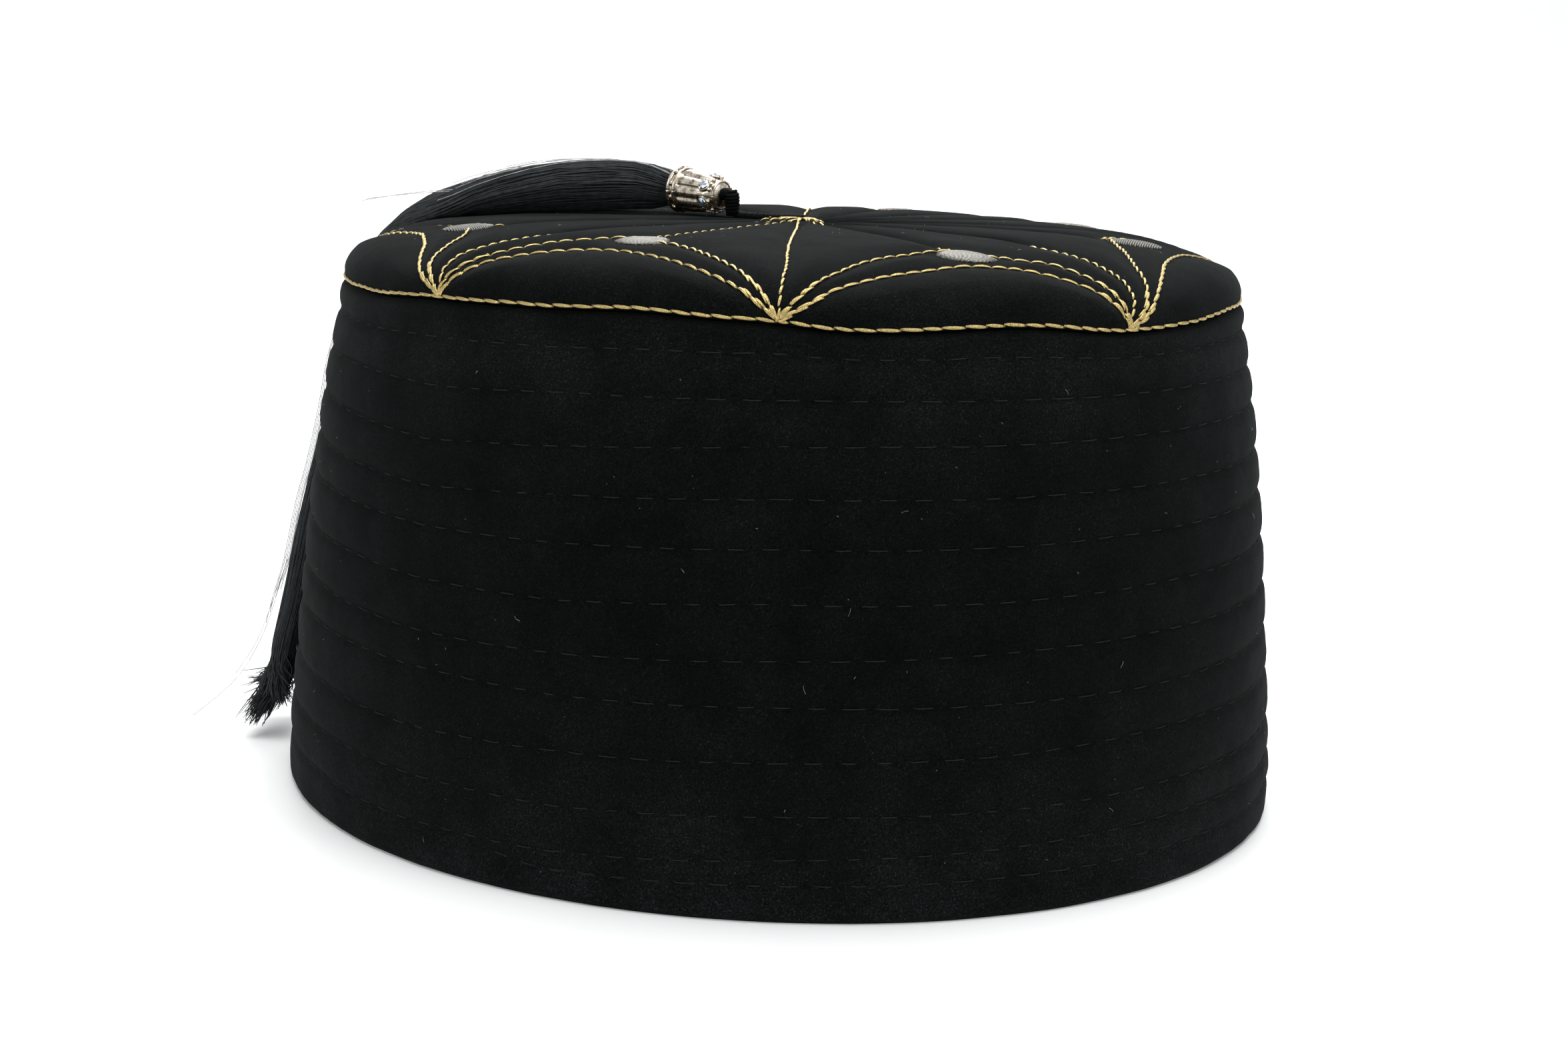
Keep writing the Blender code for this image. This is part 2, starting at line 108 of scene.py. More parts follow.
# The quilting of the band
RIB_PUFF = 0.55 * MM
VELVET_WAVE = 0.16 * MM
VELVET_GRAIN = 0.07 * MM
SEAM_SINK = 0.28 * MM
SEAM_SINK_WIDTH = 0.9 * MM
RIB_FULL_SPAN = 8.0 * MM
ROW_WANDER = 0.35 * MM
ROW_TREMOR = 0.12 * MM
HEM_MERGE = -32.0  # the lowest two rows run together from here to the left, in degrees
HEM_MERGE_WIDTH = 16.0
HEM_MERGE_END = -110.0
HEM_MERGE_FADES = (-120.0, 30.0)
ROW_SHIFT_AZIMUTHS = (-150.0, -110.0, -80.0, -47.0, -25.0, 0.0, 25.0, 47.0, 80.0, 110.0)
ROW_SHIFTS = (  # how each row of stitches strays at those azimuths, from the lowest row up, mm
    (0.0, -0.6, -1.2, -2.0, -1.0, 0.0, 0.6, 0.8, 0.5, 0.0),
    (0.0, -0.8, -1.7, -2.8, -2.3, 0.0, 1.1, 1.9, 1.1, 0.0),
    (0.0, -0.6, -1.3, -2.1, -1.7, 0.0, 0.3, 0.7, 0.4, 0.0),
    (0.0, -0.8, -1.6, -2.7, -1.5, 0.0, 0.6, 1.3, 0.8, 0.0),
    (0.0, -0.4, -0.7, -1.1, -1.2, 0.0, 0.0, 0.0, 0.0, 0.0),
    (0.0, -0.9, -1.7, -2.9, -2.1, -0.2, 0.5, 0.9, 0.5, 0.0),
    (0.0, -0.8, -1.6, -2.7, -2.3, -0.3, -0.4, 0.0, 0.0, 0.0),
    (0.0, -0.7, -1.4, -2.3, -1.6, 0.0, 0.0, 0.3, 0.2, 0.0),
    (0.0, -1.1, -2.2, -3.7, -1.7, 0.0, 0.0, 0.0, 0.0, 0.0),
    (0.0, -1.2, -2.6, -4.3, -2.1, 0.0, 0.1, 0.3, 0.2, 0.0),
    (0.0, -0.7, -1.4, -2.3, -0.4, 0.2, 0.1, 0.2, 0.1, 0.0),
    (0.0, -0.1, -0.2, -0.3, 0.1, 1.3, 1.2, 1.0, 0.6, 0.0),
)
ROW_STRAYS = [tuple(zip(ROW_SHIFT_AZIMUTHS, shifts)) for shifts in ROW_SHIFTS]
QUILT_STITCH = 4.0 * MM
QUILT_PERIOD = 5.9 * MM
QUILT_THREAD = 0.1 * MM
QUILT_SLANT = 0.12 * MM
QUILT_SINK = 0.12 * MM
QUILT_ARCH = 0.33 * MM
QUILT_KNOTS = 6

# The gold embroidery: fan feet on the rim, in degrees from the front towards +X
FAN_FEET = (-101.0, -47.6, -1.2, 42.0, 91.0, 135.5, 176.5, 218.0, 259.0)
ARCH = (  # share of the way from one fan to the next, radius mm
    (0.0, 84.0), (0.05, 83.0), (0.1, 80.4), (0.16, 77.2), (0.22, 74.6), (0.32, 71.6), (0.41, 70.0),
    (0.5, 69.4), (0.59, 70.0), (0.68, 71.6), (0.78, 74.6), (0.84, 77.2), (0.9, 80.4), (0.95, 83.0),
    (1.0, 84.0),
)
ARCHES_SEEN = {  # the arches that follow the photograph, by the fan where they start
    -101.0: (
        (0.0, 84.0), (0.05, 83.0), (0.1, 80.0), (0.18, 76.0), (0.3, 72.4), (0.42, 70.6),
        (0.53, 71.0), (0.68, 74.0), (0.8, 78.6), (0.876, 81.8), (0.92, 83.2), (1.0, 84.0),
    ),
    -47.6: (
        (0.0, 84.0), (0.035, 82.6), (0.08, 79.0), (0.13, 75.7), (0.19, 72.6), (0.245, 70.6),
        (0.32, 68.5), (0.4, 67.4), (0.48, 67.7), (0.54, 68.9), (0.62, 71.1), (0.7, 73.5),
        (0.77, 76.1), (0.84, 78.7), (0.9, 81.3), (0.95, 83.4), (1.0, 84.0),
    ),
    -1.2: (
        (0.0, 84.0), (0.06, 83.2), (0.14, 79.8), (0.2, 77.4), (0.28, 74.8), (0.36, 73.0),
        (0.46, 71.4), (0.57, 70.1), (0.66, 70.5), (0.78, 71.6), (0.86, 74.1), (0.91, 76.6),
        (0.95, 79.6), (0.975, 82.6), (1.0, 84.0),
    ),
    42.0: (
        (0.0, 84.0), (0.05, 83.7), (0.1, 82.6), (0.18, 79.8), (0.29, 76.2), (0.42, 73.3),
        (0.58, 72.3), (0.72, 73.6), (0.83, 76.4), (0.91, 80.0), (1.0, 84.0),
    ),
}
PETAL = (  # share of the way from a fan to the middle of its disc, radius mm
    (0.0, 84.0), (0.06, 82.4), (0.13, 78.8), (0.22, 74.8), (0.34, 70.4), (0.5, 65.6), (0.68, 61.6),
    (0.85, 59.2), (1.0, 58.4),
)
PETALS_SEEN = {  # by fan and by disc
    (-47.6, -74.6): (
        (0.0, 84.0), (0.1, 82.8), (0.2, 80.6), (0.32, 76.8), (0.42, 73.2), (0.54, 69.4),
        (0.66, 66.2), (0.82, 63.6), (1.0, 61.8),
    ),
    (-47.6, -27.5): (
        (0.0, 84.0), (0.02, 82.6), (0.06, 79.2), (0.11, 75.6), (0.19, 70.4), (0.28, 65.0),
        (0.38, 60.8), (0.52, 57.8), (0.68, 55.6), (0.85, 54.6), (1.0, 54.2),
    ),
    (-1.2, -27.5): (
        (0.0, 84.0), (0.06, 82.3), (0.135, 78.7), (0.22, 74.6), (0.32, 70.8), (0.42, 67.2),
        (0.53, 63.4), (0.66, 60.4), (0.78, 58.8), (1.0, 57.4),
    ),
    (-1.2, 27.7): (
        (0.0, 84.0), (0.07, 82.4), (0.14, 78.6), (0.195, 75.3), (0.255, 72.6), (0.345, 68.6),
        (0.45, 65.0), (0.56, 62.6), (0.68, 61.0), (0.8, 59.6), (0.9, 58.8), (1.0, 58.6),
    ),
    (42.0, 27.7): (
        (0.0, 84.0), (-0.01, 81.6), (-0.015, 78.6), (0.0, 75.6), (0.05, 71.4), (0.14, 67.4),
        (0.38, 65.6), (0.64, 64.2), (1.0, 63.0),
    ),
    (42.0, 76.0): (
        (0.0, 84.0), (0.1, 82.9), (0.15, 81.2), (0.24, 77.6), (0.36, 72.6), (0.52, 67.8),
        (0.72, 63.4), (0.9, 60.6), (1.0, 60.0),
    ),
}
RAYS_SEEN = {  # by fan: share of the way to the middle, swing in degrees
    -47.6: ((0.0, 0.0), (0.03, -1.6), (0.08, -3.0), (0.15, -3.6), (0.2, -3.6), (1.0, -2.0)),
    42.0: ((0.0, 0.0), (0.03, 2.4), (0.08, 4.2), (0.14, 5.6), (0.2, 7.0), (0.4, 8.0), (1.0, 8.0)),
    -1.2: ((0.0, 0.0), (0.15, 0.5), (0.5, 0.0), (1.0, 0.0)),
}
PATTERN_CENTRE = Vector((1.7, 1.6)) * MM
DISCS = (  # azimuth in degrees, radius mm
    (-74.6, 62.2), (-27.5, 57.4), (27.7, 63.4), (76.0, 64.4), (113.0, 62.5), (157.5, 62.0),
    (197.5, 62.0), (238.5, 62.3),
)
DISC_RADIUS = 4.9 * MM
DISC_CALM = (5.0 * MM, 5.5 * MM)  # where the puffs begin beside a disc, and the width to their full height
DISC_ZONE = (50.0 * MM, 76.0 * MM)  # the radii between which the discs lie
DISC_THREADS = 22
DISC_THREAD = 0.25 * MM
DISC_SINK = 0.2 * MM
DISC_DOME = 0.62 * MM
CROWN_PUFF = 0.62 * MM
CROWN_RIM_PUFF = 0.8 * MM
PUFF_GROWS = (58.0, 14.0)  # from this radius over this width, mm
PUFF_REACH = 2.8 * MM
PUFF_RIM_REACH = 4.5 * MM
REACH_GROWS = (48.0, 14.0)
THREAD_SINK = (  # radius mm, how deep the lines are drawn in mm
    (0.0, -0.3), (5.0, -0.2), (7.0, 0.5), (12.0, 0.8), (46.0, 0.8), (54.0, 0.32), (84.0, 0.3),
)
THREAD_SINK_WIDTH = 1.3 * MM
SHALLOW_DOT_LINE = 1
SHALLOW_DOTS = 0.25
SHALLOW_LINES = [("ray", 2), ("ray", 6)] + [("petal", number) for number in range(1, 7)]
DEEP_LINES = 1.6
DEPTHS_MEET = (70.0, 6.0)  # where all lines become equally deep
CLOTH_WAVE = 0.12 * MM
CLOTH_GRAIN = 0.05 * MM
STITCH_KNOTS = 7
STITCH_LEAN = 0.3 * MM
STITCH_SINK = 0.08 * MM
STITCH_PROBE = 0.2 * MM
RIM_PLY = (3, 0.14 * MM, 0.17 * MM, 0.24 * MM)  # strands, their radius, their spread, their height
ARCH_PLY = (3, 0.15 * MM, 0.19 * MM, 0.28 * MM)
TWO_PLY = (2, 0.165 * MM, 0.19 * MM, 0.29 * MM)
FINE_PLY = (2, 0.12 * MM, 0.12 * MM, 0.24 * MM)
RIM_STEPS = 720
RAY_STEPS = 90
STAR_POINTS = 16  # the small star of stitches at the pattern's centre
STAR_RADIUS = 4.6 * MM

# The tassel, its large forms as in the CAD source
CORD_START = Vector((2.6, 2.4)) * MM
CORD_BEND = 1.2 * MM
CORD_RADIUS = 0.85 * MM
CORD_SINK = 0.35 * MM
CORD_END = Vector((0.9, -0.3, -0.9)) * MM
CORD_PLIES = 3
PLY_RADIUS = 0.42 * MM
KNOT_TURNS = 7.0
KNOT_ROOT = Vector((-10.35, 6.1, 108.05)) * MM
CAP_NARROW_END = Vector((-12.3, 6.8, 112.0)) * MM
CAP_WIDE_END = Vector((-20.3, 13.4, 112.6)) * MM
CAP_PROFILE = (  # along the cap from its narrow end mm, radius mm
    (-0.1, 2.2), (0.5, 2.8), (1.8, 3.3), (3.6, 3.65), (5.6, 3.85), (7.6, 3.95), (9.1, 3.95),
    (9.7, 3.75), (10.2, 4.05), (10.9, 4.05),
)
CAP_RECESS_RADIUS = 3.5  # mm
CAP_RECESS_DEPTH = 2.0  # mm
CAP_STEPS = 160
CAP_RIBS = 10
CAP_RIBS_BEGIN = (0.9, 1.4)  # along the cap, over this width, mm
CAP_RIBS_END = (9.0, 0.9)
CAP_RIB_RISE = 0.62
CAP_RIB_SINK = 0.42
CAP_WIRES = ((0.3, 0.0, 0.3), (9.3, 0.12, 0.34), (10.5, 0.14, 0.42))  # along the cap, out from it, radius
CAP_BALLS = ((0.95, 9, 0.42), (9.85, 10, 0.5))  # along the cap mm, count, radius mm
CRYSTALS = 6
CRYSTAL_RING = (2.3, 3.4, 0.58)  # along the cap mm, body radius mm, turn of the ring as a part of one step
CRYSTAL_RADIUS = 1.15 * MM
SKEIN_ROUTE = (  # x mm, y mm, z mm, half width mm, half depth mm
    (-19.1, 12.4, 112.5, 2.9, 2.9), (-21.6, 14.4, 112.6, 3.1, 3.1), (-27.6, 15.6, 112.7, 4.9, 4.3),
    (-38.0, 14.6, 112.6, 5.8, 4.7), (-49.3, 14.2, 111.9, 6.2, 4.2), (-59.3, 17.2, 110.4, 6.4, 3.2),
    (-67.3, 23.8, 108.1, 7.0, 2.2), (-74.5, 31.0, 105.0, 7.4, 2.0), (-80.3, 38.0, 98.8, 7.8, 2.0),
    (-81.6, 38.6, 90.5, 7.8, 2.6), (-85.5, 35.6, 77.0, 7.5, 2.9), (-90.0, 31.2, 60.0, 7.2, 3.2),
    (-93.9, 27.2, 42.0, 7.2, 3.5), (-96.3, 23.6, 27.0, 7.6, 3.8), (-98.3, 21.5, 18.0, 7.4, 3.6),
)
SKEIN_INSIDE = Vector((0.0, 0.0, 60.0)) * MM
LOCK_TIPS = (  # place across the skein, tip x mm, tip y mm, tip z mm
    (0.72, -103.8, 29.0, 9.0), (0.48, -107.6, 27.0, 7.8), (0.22, -103.6, 24.0, 5.6),
    (0.0, -104.7, 21.0, 3.6), (-0.25, -105.3, 17.0, 3.7), (-0.5, -105.8, 12.5, 3.2),
    (-0.74, -100.1, 12.5, 7.5),
)
LOCKS = 9
LOCK_START = 0.6
LOCK_PULL = 0.6
LOWEST_TIP = 1.6 * MM
CORE_STEPS = 24
CORE_WIDTH = 0.86
CORE_DEPTH = 0.8
CORE_CLEARANCE = 0.35 * MM
SKEIN_EDGE = 1.04
STRAND_STEP = 4
STRAND_DRIFT = 0.22
STRANDS_A_PIECE = 500
STRAND_CLEARANCE = 0.3 * MM
SILVER_STRANDS = 14
PALE_STRANDS = 10
PALE_ROUTE = (  # the pale strands that hang outside the skein, mm
    (-79.0, 38.0, 101.6), (-85.4, 39.0, 93.5), (-89.6, 38.6, 85.0), (-93.0, 38.0, 76.7),
    (-95.3, 37.0, 64.2), (-97.6, 36.0, 53.3), (-99.2, 34.0, 46.9), (-100.6, 33.0, 40.2),
    (-101.8, 31.0, 33.0), (-103.3, 29.0, 27.3), (-104.6, 27.0, 21.7), (-105.8, 24.0, 14.6),
)
STRAYS = (  # loose strands that stand away from the skein, mm
    ((-58.0, 16.0, 111.2), (-66.0, 19.0, 111.0), (-75.0, 20.5, 110.0), (-84.0, 20.5, 108.4)),
    ((-60.0, 17.0, 110.6), (-67.0, 19.5, 110.6), (-76.0, 21.0, 109.7), (-83.4, 21.4, 108.7)),
    (
        (-101.8, 31.0, 33.0), (-103.3, 28.0, 27.0), (-105.5, 23.0, 19.0), (-109.5, 15.0, 11.5),
        (-117.0, 8.0, 5.4),
    ),
    ((-102.4, 30.0, 31.0), (-104.5, 26.0, 24.0), (-106.6, 20.8, 17.6), (-109.8, 15.6, 12.4)),
)
LINT_LENGTHS = (0.1, 0.12, 0.15, 0.2, 0.3, 0.5, 1.1)  # mm
LINT_COUNT = 300


# Plain helpers
def between(table, value):
    """Reads a table of (place, size) rows, linear between its rows."""
    if value <= table[0][0]:
        return table[0][1]
    for (low, first), (high, last) in zip(table, table[1:]):
        if value <= high:
            return first + (last - first) * (value - low) / (high - low)
    return table[-1][1]


def ease(share):
    """Turns an even share from 0 to 1 into one that starts and ends gently."""
    share = min(max(share, 0.0), 1.0)
    return share * share * (3 - 2 * share)


def grown(value, rise):
    """Eases from 0 to 1 over a stretch given by its start and its width."""
    start, width = rise
    return ease((value - start) / width)


def turns(count):
    """The angles of equal steps round a circle."""
    return [2 * math.pi * step / count for step in range(count)]


def from_front(azimuth):
    """An azimuth in degrees, from -180 to 180."""
    return (math.degrees(azimuth) + 180) % 360 - 180


def heading(path, index):
    """The way that a path runs at one of its points."""
    return path[min(index + 1, len(path) - 1)] - path[max(index - 1, 0)]


def circle_point(radius, angle, height):
    """A point round the Z axis, by its angle from +X."""
    return Vector((math.cos(angle) * radius, math.sin(angle) * radius, height))


def curve_through(rows, place):
    """Reads rows of numbers as one smooth curve through them, at a place from 0 to 1."""
    place = min(max(place, 0.0), 1.0) * (len(rows) - 1)
    index = min(int(place), len(rows) - 2)
    t = place - index
    p0 = rows[max(index - 1, 0)]
    p1 = rows[index]
    p2 = rows[index + 1]
    p3 = rows[min(index + 2, len(rows) - 1)]
    result = []
    for a, b, c, d in zip(p0, p1, p2, p3):
        bend = (c - a) * t + (2 * a - 5 * b + 4 * c - d) * t ** 2 + (3 * b - a - 3 * c + d) * t ** 3
        result.append(b + bend / 2)
    return result


def rim_wave(azimuth):
    """The uneven height of the rim, eased between the rows of its table."""
    degrees = from_front(azimuth)
    for (low, first), (high, last) in zip(RIM_WAVE, RIM_WAVE[1:]):
        if degrees <= high:
            return (first + (last - first) * ease((degrees - low) / (high - low))) * MM
    return RIM_WAVE[-1][1] * MM


def soft_place(point):
    """Moves a point of the turned form to where it is on the soft hat."""
    radius = math.hypot(point.x, point.y)
    azimuth = math.atan2(point.x, -point.y)
    share = point.z / RIM_HEIGHT
    wide = radius * (1 + OVAL * math.cos(2 * (azimuth - OVAL_AZIMUTH)))
    x = wide * math.sin(azimuth) + LEAN * share
    y = -wide * math.cos(azimuth)
    z = point.z - share * FORWARD_TILT * y
    if point.z > WAVE_START:
        rise = ease((point.z - WAVE_START) / (RIM_HEIGHT - WAVE_START))
        z += rim_wave(azimuth) * rise * (radius / CROWN_RADIUS) ** 4
    return Vector((x, y, z))


def polar(radius, azimuth, height):
    """A point round the hat's axis, by its azimuth from the front towards +X."""
    return Vector((radius * math.sin(azimuth), -radius * math.cos(azimuth), height))


def add_object(name, data):
    thing = bpy.data.objects.new(name, data)
    bpy.context.scene.collection.objects.link(thing)
    return thing


class Builder:
    """Gathers vertices, faces and UVs of one piece, then makes its mesh."""

    def __init__(self):
        self.points = []
        self.faces = []
        self.uvs = []

    def tube(self, path, radii, sides, up=None):
        """A closed tube along the path. UV u runs along it in millimetres, v runs round it."""
        first = len(self.points)
        run = 0.0
        length = [0.0]
        for a, b in zip(path, path[1:]):
            run += (b - a).length
            length.append(run)
        side = None
        for index, place in enumerate(path):
            along = heading(path, index)
            if along.length_squared == 0:
                along = Vector((0, 0, 1))
            along.normalize()
            if up is not None:
                side = along.cross(up)
            elif side is None:
                side = along.cross(Vector((0.3, 0.2, 0.93)))
            else:
                side = side - side.dot(along) * along
            side.normalize()
            top = side.cross(along)
            for angle in turns(sides):
                offset = side * (math.cos(angle) * radii[index])
                offset += top * (math.sin(angle) * radii[index])
                self.points.append(place + offset)
        for index in range(len(path) - 1):
            u0 = length[index] / MM
            u1 = length[index + 1] / MM
            for step in range(sides):
                after = (step + 1) % sides
                low = first + index * sides
                high = low + sides
                self.faces.append((low + step, high + step, high + after, low + after))
                v0 = step / sides
                v1 = (step + 1) / sides
                self.uvs.extend(((u0, v0), (u1, v0), (u1, v1), (u0, v1)))
        for base, order in ((first, 1), (first + (len(path) - 1) * sides, -1)):
            ring = [base + step for step in range(sides)][::order]
            self.faces.append(tuple(ring))
            self.uvs.extend(((0.0, 0.0),) * sides)

    def rings(self, rings, poles=(None, None)):
        """A skin of rings that close on themselves, with a point at either end where one is given."""
        first = len(self.points)
        count = len(rings[0])
        for ring in rings:
            self.points.extend(ring)
        for row in range(len(rings) - 1):
            low = first + row * count
            for step in range(count):
                after = (step + 1) % count
                self.faces.append((low + step, low + count + step, low + count + after, low + after))
                self.uvs.extend(((0.0, 0.0),) * 4)
        last = first + (len(rings) - 1) * count
        for pole, base, flip in ((poles[0], first, False), (poles[1], last, True)):
            if pole is None:
                continue
            self.points.append(pole)
            tip = len(self.points) - 1
            for step in range(count):
                after = (step + 1) % count
                face = (base + step, base + after, tip)
                self.faces.append(face[::-1] if flip else face)
                self.uvs.extend(((0.0, 0.0),) * 3)

    def make(self, name, material):
        mesh = bpy.data.meshes.new(name)
        mesh.from_pydata(self.points, [], self.faces)
        layer = mesh.uv_layers.new(name="UVMap")
        flat = [number for pair in self.uvs for number in pair]
        layer.data.foreach_set("uv", flat)
        mesh.update()
        mesh.shade_smooth()
        mesh.materials.append(material)
        piece = add_object(name, mesh)
        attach(piece, BODY)
        return piece


# Materials
def new_material(name, settings):
    """A material with its tree, its shader and its texture coordinates."""
    material = bpy.data.materials.new(name)
    material.use_nodes = True
    tree = material.node_tree
    shader = tree.nodes["Principled BSDF"]
    put(shader, settings)
    return material, tree, shader, tree.nodes.new("ShaderNodeTexCoord")


def put(node, entries):
    """Sets a node's inputs by their names."""
    for name, value in entries.items():
        node.inputs[name].default_value = value


def link(tree, source, socket, target, entry):
    tree.links.new(source.outputs[socket], target.inputs[entry])


def greys(*rows):
    """The stops of a grey ramp, from rows of place and level."""
    return [(place, (level,) * 3) for place, level in rows]


def add_noise(tree, place, scale, detail, roughness):
    node = tree.nodes.new("ShaderNodeTexNoise")
    put(node, {"Scale": scale, "Detail": detail, "Roughness": roughness})
    link(tree, place, "Object", node, "Vector")
    return node


def add_ramp(tree, source, stops, socket="Fac"):
    node = tree.nodes.new("ShaderNodeValToRGB")
    ramp = node.color_ramp
    while len(ramp.elements) < len(stops):
        ramp.elements.new(0.5)
    for element, (place, colour) in zip(ramp.elements, stops):
        element.position = place
        element.color = (*colour, 1.0)
    link(tree, source, socket, node, "Fac")
    return node


def add_range(tree, source, socket, low, high):
    """Spreads a value over another range."""
    node = tree.nodes.new("ShaderNodeMapRange")
    put(node, {"To Min": low, "To Max": high})
    link(tree, source, socket, node, "Value")
    return node


def multiply(tree, first, second):
    """Multiplies two colours."""
    mix = tree.nodes.new("ShaderNodeMix")
    mix.data_type = "RGBA"
    mix.blend_type = "MULTIPLY"
    mix.inputs["Factor"].default_value = 1.0
    for colour, place in zip((first, second), MIX_COLOURS):
        tree.links.new(colour, mix.inputs[place])
    return mix.outputs[MIX_RESULT]


def add_bump(tree, shader, source, strength, distance, before=None):
    node = tree.nodes.new("ShaderNodeBump")
    put(node, {"Strength": strength, "Distance": distance})
    link(tree, source, "Fac", node, "Height")
    if before is not None:
        link(tree, before, "Normal", node, "Normal")
    link(tree, node, "Normal", shader, "Normal")
    return node


def add_filaments(tree, place, slant, squeeze, twist, distortion):
    """Fine slanting filaments along the UV of a strand."""
    turn = tree.nodes.new("ShaderNodeMapping")
    put(turn, {"Rotation": (0.0, 0.0, math.radians(slant)), "Scale": (1.0, squeeze, 1.0)})
    link(tree, place, "UV", turn, "Vector")
    filaments = tree.nodes.new("ShaderNodeTexWave")
    put(filaments, {"Scale": twist, "Distortion": distortion, "Detail": 2.0})
    link(tree, turn, "Vector", filaments, "Vector")
    return filaments


def velvet_material(name):
    """Black cotton velvet: a dull dark ground, fine pile, a pale sheen where it turns away, and painted
    bounce light that lightens its colour towards the bottom.
    """
    material, tree, shader, place = new_material(name, {
        "Roughness": 0.95, "Specular IOR Level": 0.042, "Sheen Weight": 0.014,
        "Sheen Roughness": 0.42, "Sheen Tint": (0.8, 0.97, 1.0, 1.0),
    })
    patches = add_noise(tree, place, 90.0, 4.0, 0.55)
    tone = add_ramp(tree, patches, ((0.3, (0.0009, 0.001, 0.001)), (0.72, (0.0022, 0.0025, 0.0025))))
    pile = add_noise(tree, place, 3200.0, 2.0, 0.7)
    fibre = add_ramp(tree, pile, greys((0.35, 0.3), (0.62, 2.0), (0.72, 6.0)))
    # Painted bounce light: a ramp by height lightens the ground colour towards the bottom, where light
    # from the floor falls, and lightens it again near the band's top.
    height = tree.nodes.new("ShaderNodeSeparateXYZ")
    link(tree, place, "Object", height, "Vector")
    level = add_range(tree, height, "Z", 0.0, 1.0)
    level.inputs["From Max"].default_value = VELVET_TOP
    rows = [(0.0, (2.6, 2.7, 2.7))]
    rows += greys((0.2, 1.5), (0.45, 1.0), (0.75, 1.1), (0.92, 1.9), (0.98, 1.3))
    height_ramp_with_painted_bounce = add_ramp(tree, level, rows, "Result")
    ground = multiply(tree, tone.outputs["Color"], fibre.outputs["Color"])
    tree.links.new(multiply(tree, ground, height_ramp_with_painted_bounce.outputs["Color"]), shader.inputs["Base Color"])
    soft = add_noise(tree, place, 420.0, 3.0, 0.6)
    first = add_bump(tree, shader, soft, 0.25, 0.25 * MM)
    add_bump(tree, shader, pile, 0.35, 0.09 * MM, first)
    return material


def thread_material(name, dark, light, roughness, metallic, twist, bump):
    """Twisted thread: fine slanting filaments along a strand, with painted glints and painted dark
    reflections in its colour.
    """
    material, tree, shader, place = new_material(name, {"Metallic": metallic, "Specular IOR Level": 0.1})
    filaments = add_filaments(tree, place, 38, 1.3, twist, 5.0)
    # Fine flecks that paint glints and dark reflections into the colour, and vary the roughness.
    glints = add_noise(tree, place, 5200.0, 2.0, 0.7)
    blend = tree.nodes.new("ShaderNodeMath")
    blend.operation = "MULTIPLY_ADD"
    link(tree, filaments, "Fac", blend, 0)
    blend.inputs[1].default_value = 0.3
    link(tree, glints, "Fac", blend, 2)
    # Painted light: the dark stop paints shade and dark reflections between the filaments, the light stop
    # painted highlights.
    middle = tuple(low * 0.6 + high * 0.4 for low, high in zip(dark, light))
    tone = add_ramp(tree, blend, ((0.43, dark), (0.63, middle), (0.84, light)), "Value")
    link(tree, tone, "Color", shader, "Base Color")
    rough = add_range(tree, glints, "Fac", roughness - 0.12, roughness + 0.15)
    link(tree, rough, "Result", shader, "Roughness")
    add_bump(tree, shader, filaments, bump, 0.06 * MM)
    return material


def silk_material(name, dark, light, roughness, twist):
    """Smooth rayon strand: a fine lengthwise lustre with uneven tone from strand to strand."""
    settings = {"Roughness": roughness, "Specular IOR Level": 0.03}
    material, tree, shader, place = new_material(name, settings)
    tone = add_ramp(tree, add_noise(tree, place, 700.0, 3.0, 0.6), ((0.35, dark), (0.7, light)))
    link(tree, tone, "Color", shader, "Base Color")
    add_bump(tree, shader, add_filaments(tree, place, 30, 1.0, twist, 1.5), 0.3, 0.04 * MM)
    return material


def metal_material(name):
    """Cast silver-coloured metal with darker patches painted in its colour as shade and dark reflections,
    and fine handling marks.
    """
    material, tree, shader, place = new_material(name, {"Metallic": 1.0})
    # Painted shade and painted reflection: broad dark patches in the colour stand for the black velvet
    # mirrored in the metal.
    painted_reflection_patches = add_noise(tree, place, 900.0, 4.0, 0.65)
    tone = add_ramp(tree, painted_reflection_patches, ((0.34, (0.16, 0.138, 0.11)), (0.58, (0.8, 0.71, 0.59))))
    link(tree, tone, "Color", shader, "Base Color")
    marks = add_noise(tree, place, 3500.0, 2.0, 0.6)
    link(tree, add_range(tree, marks, "Fac", 0.14, 0.42), "Result", shader, "Roughness")
    add_bump(tree, shader, painted_reflection_patches, 0.2, 0.05 * MM)
    return material


def crystal_material(name):
    """Foil-backed cut glass: bright cool facets with a faint uneven tint."""
    settings = {"Metallic": 0.85, "Roughness": 0.04, "Coat Weight": 1.0}
    material, tree, shader, place = new_material(name, settings)
    tint = add_noise(tree, place, 1500.0, 1.0, 0.5)
    tone = add_ramp(tree, tint, ((0.3, (0.3, 0.38, 0.52)), (0.7, (0.9, 0.95, 1.0))))
    link(tree, tone, "Color", shader, "Base Color")
    return material


def floor_material(name):
    material, tree, shader, place = new_material(name, {"Roughness": 0.65})
    grain = add_noise(tree, place, 30.0, 3.0, 0.5)
    tone = add_ramp(tree, grain, ((0.3, (0.82, 0.825, 0.825)), (0.7, (0.84, 0.845, 0.845))))
    link(tree, tone, "Color", shader, "Base Color")
    return material


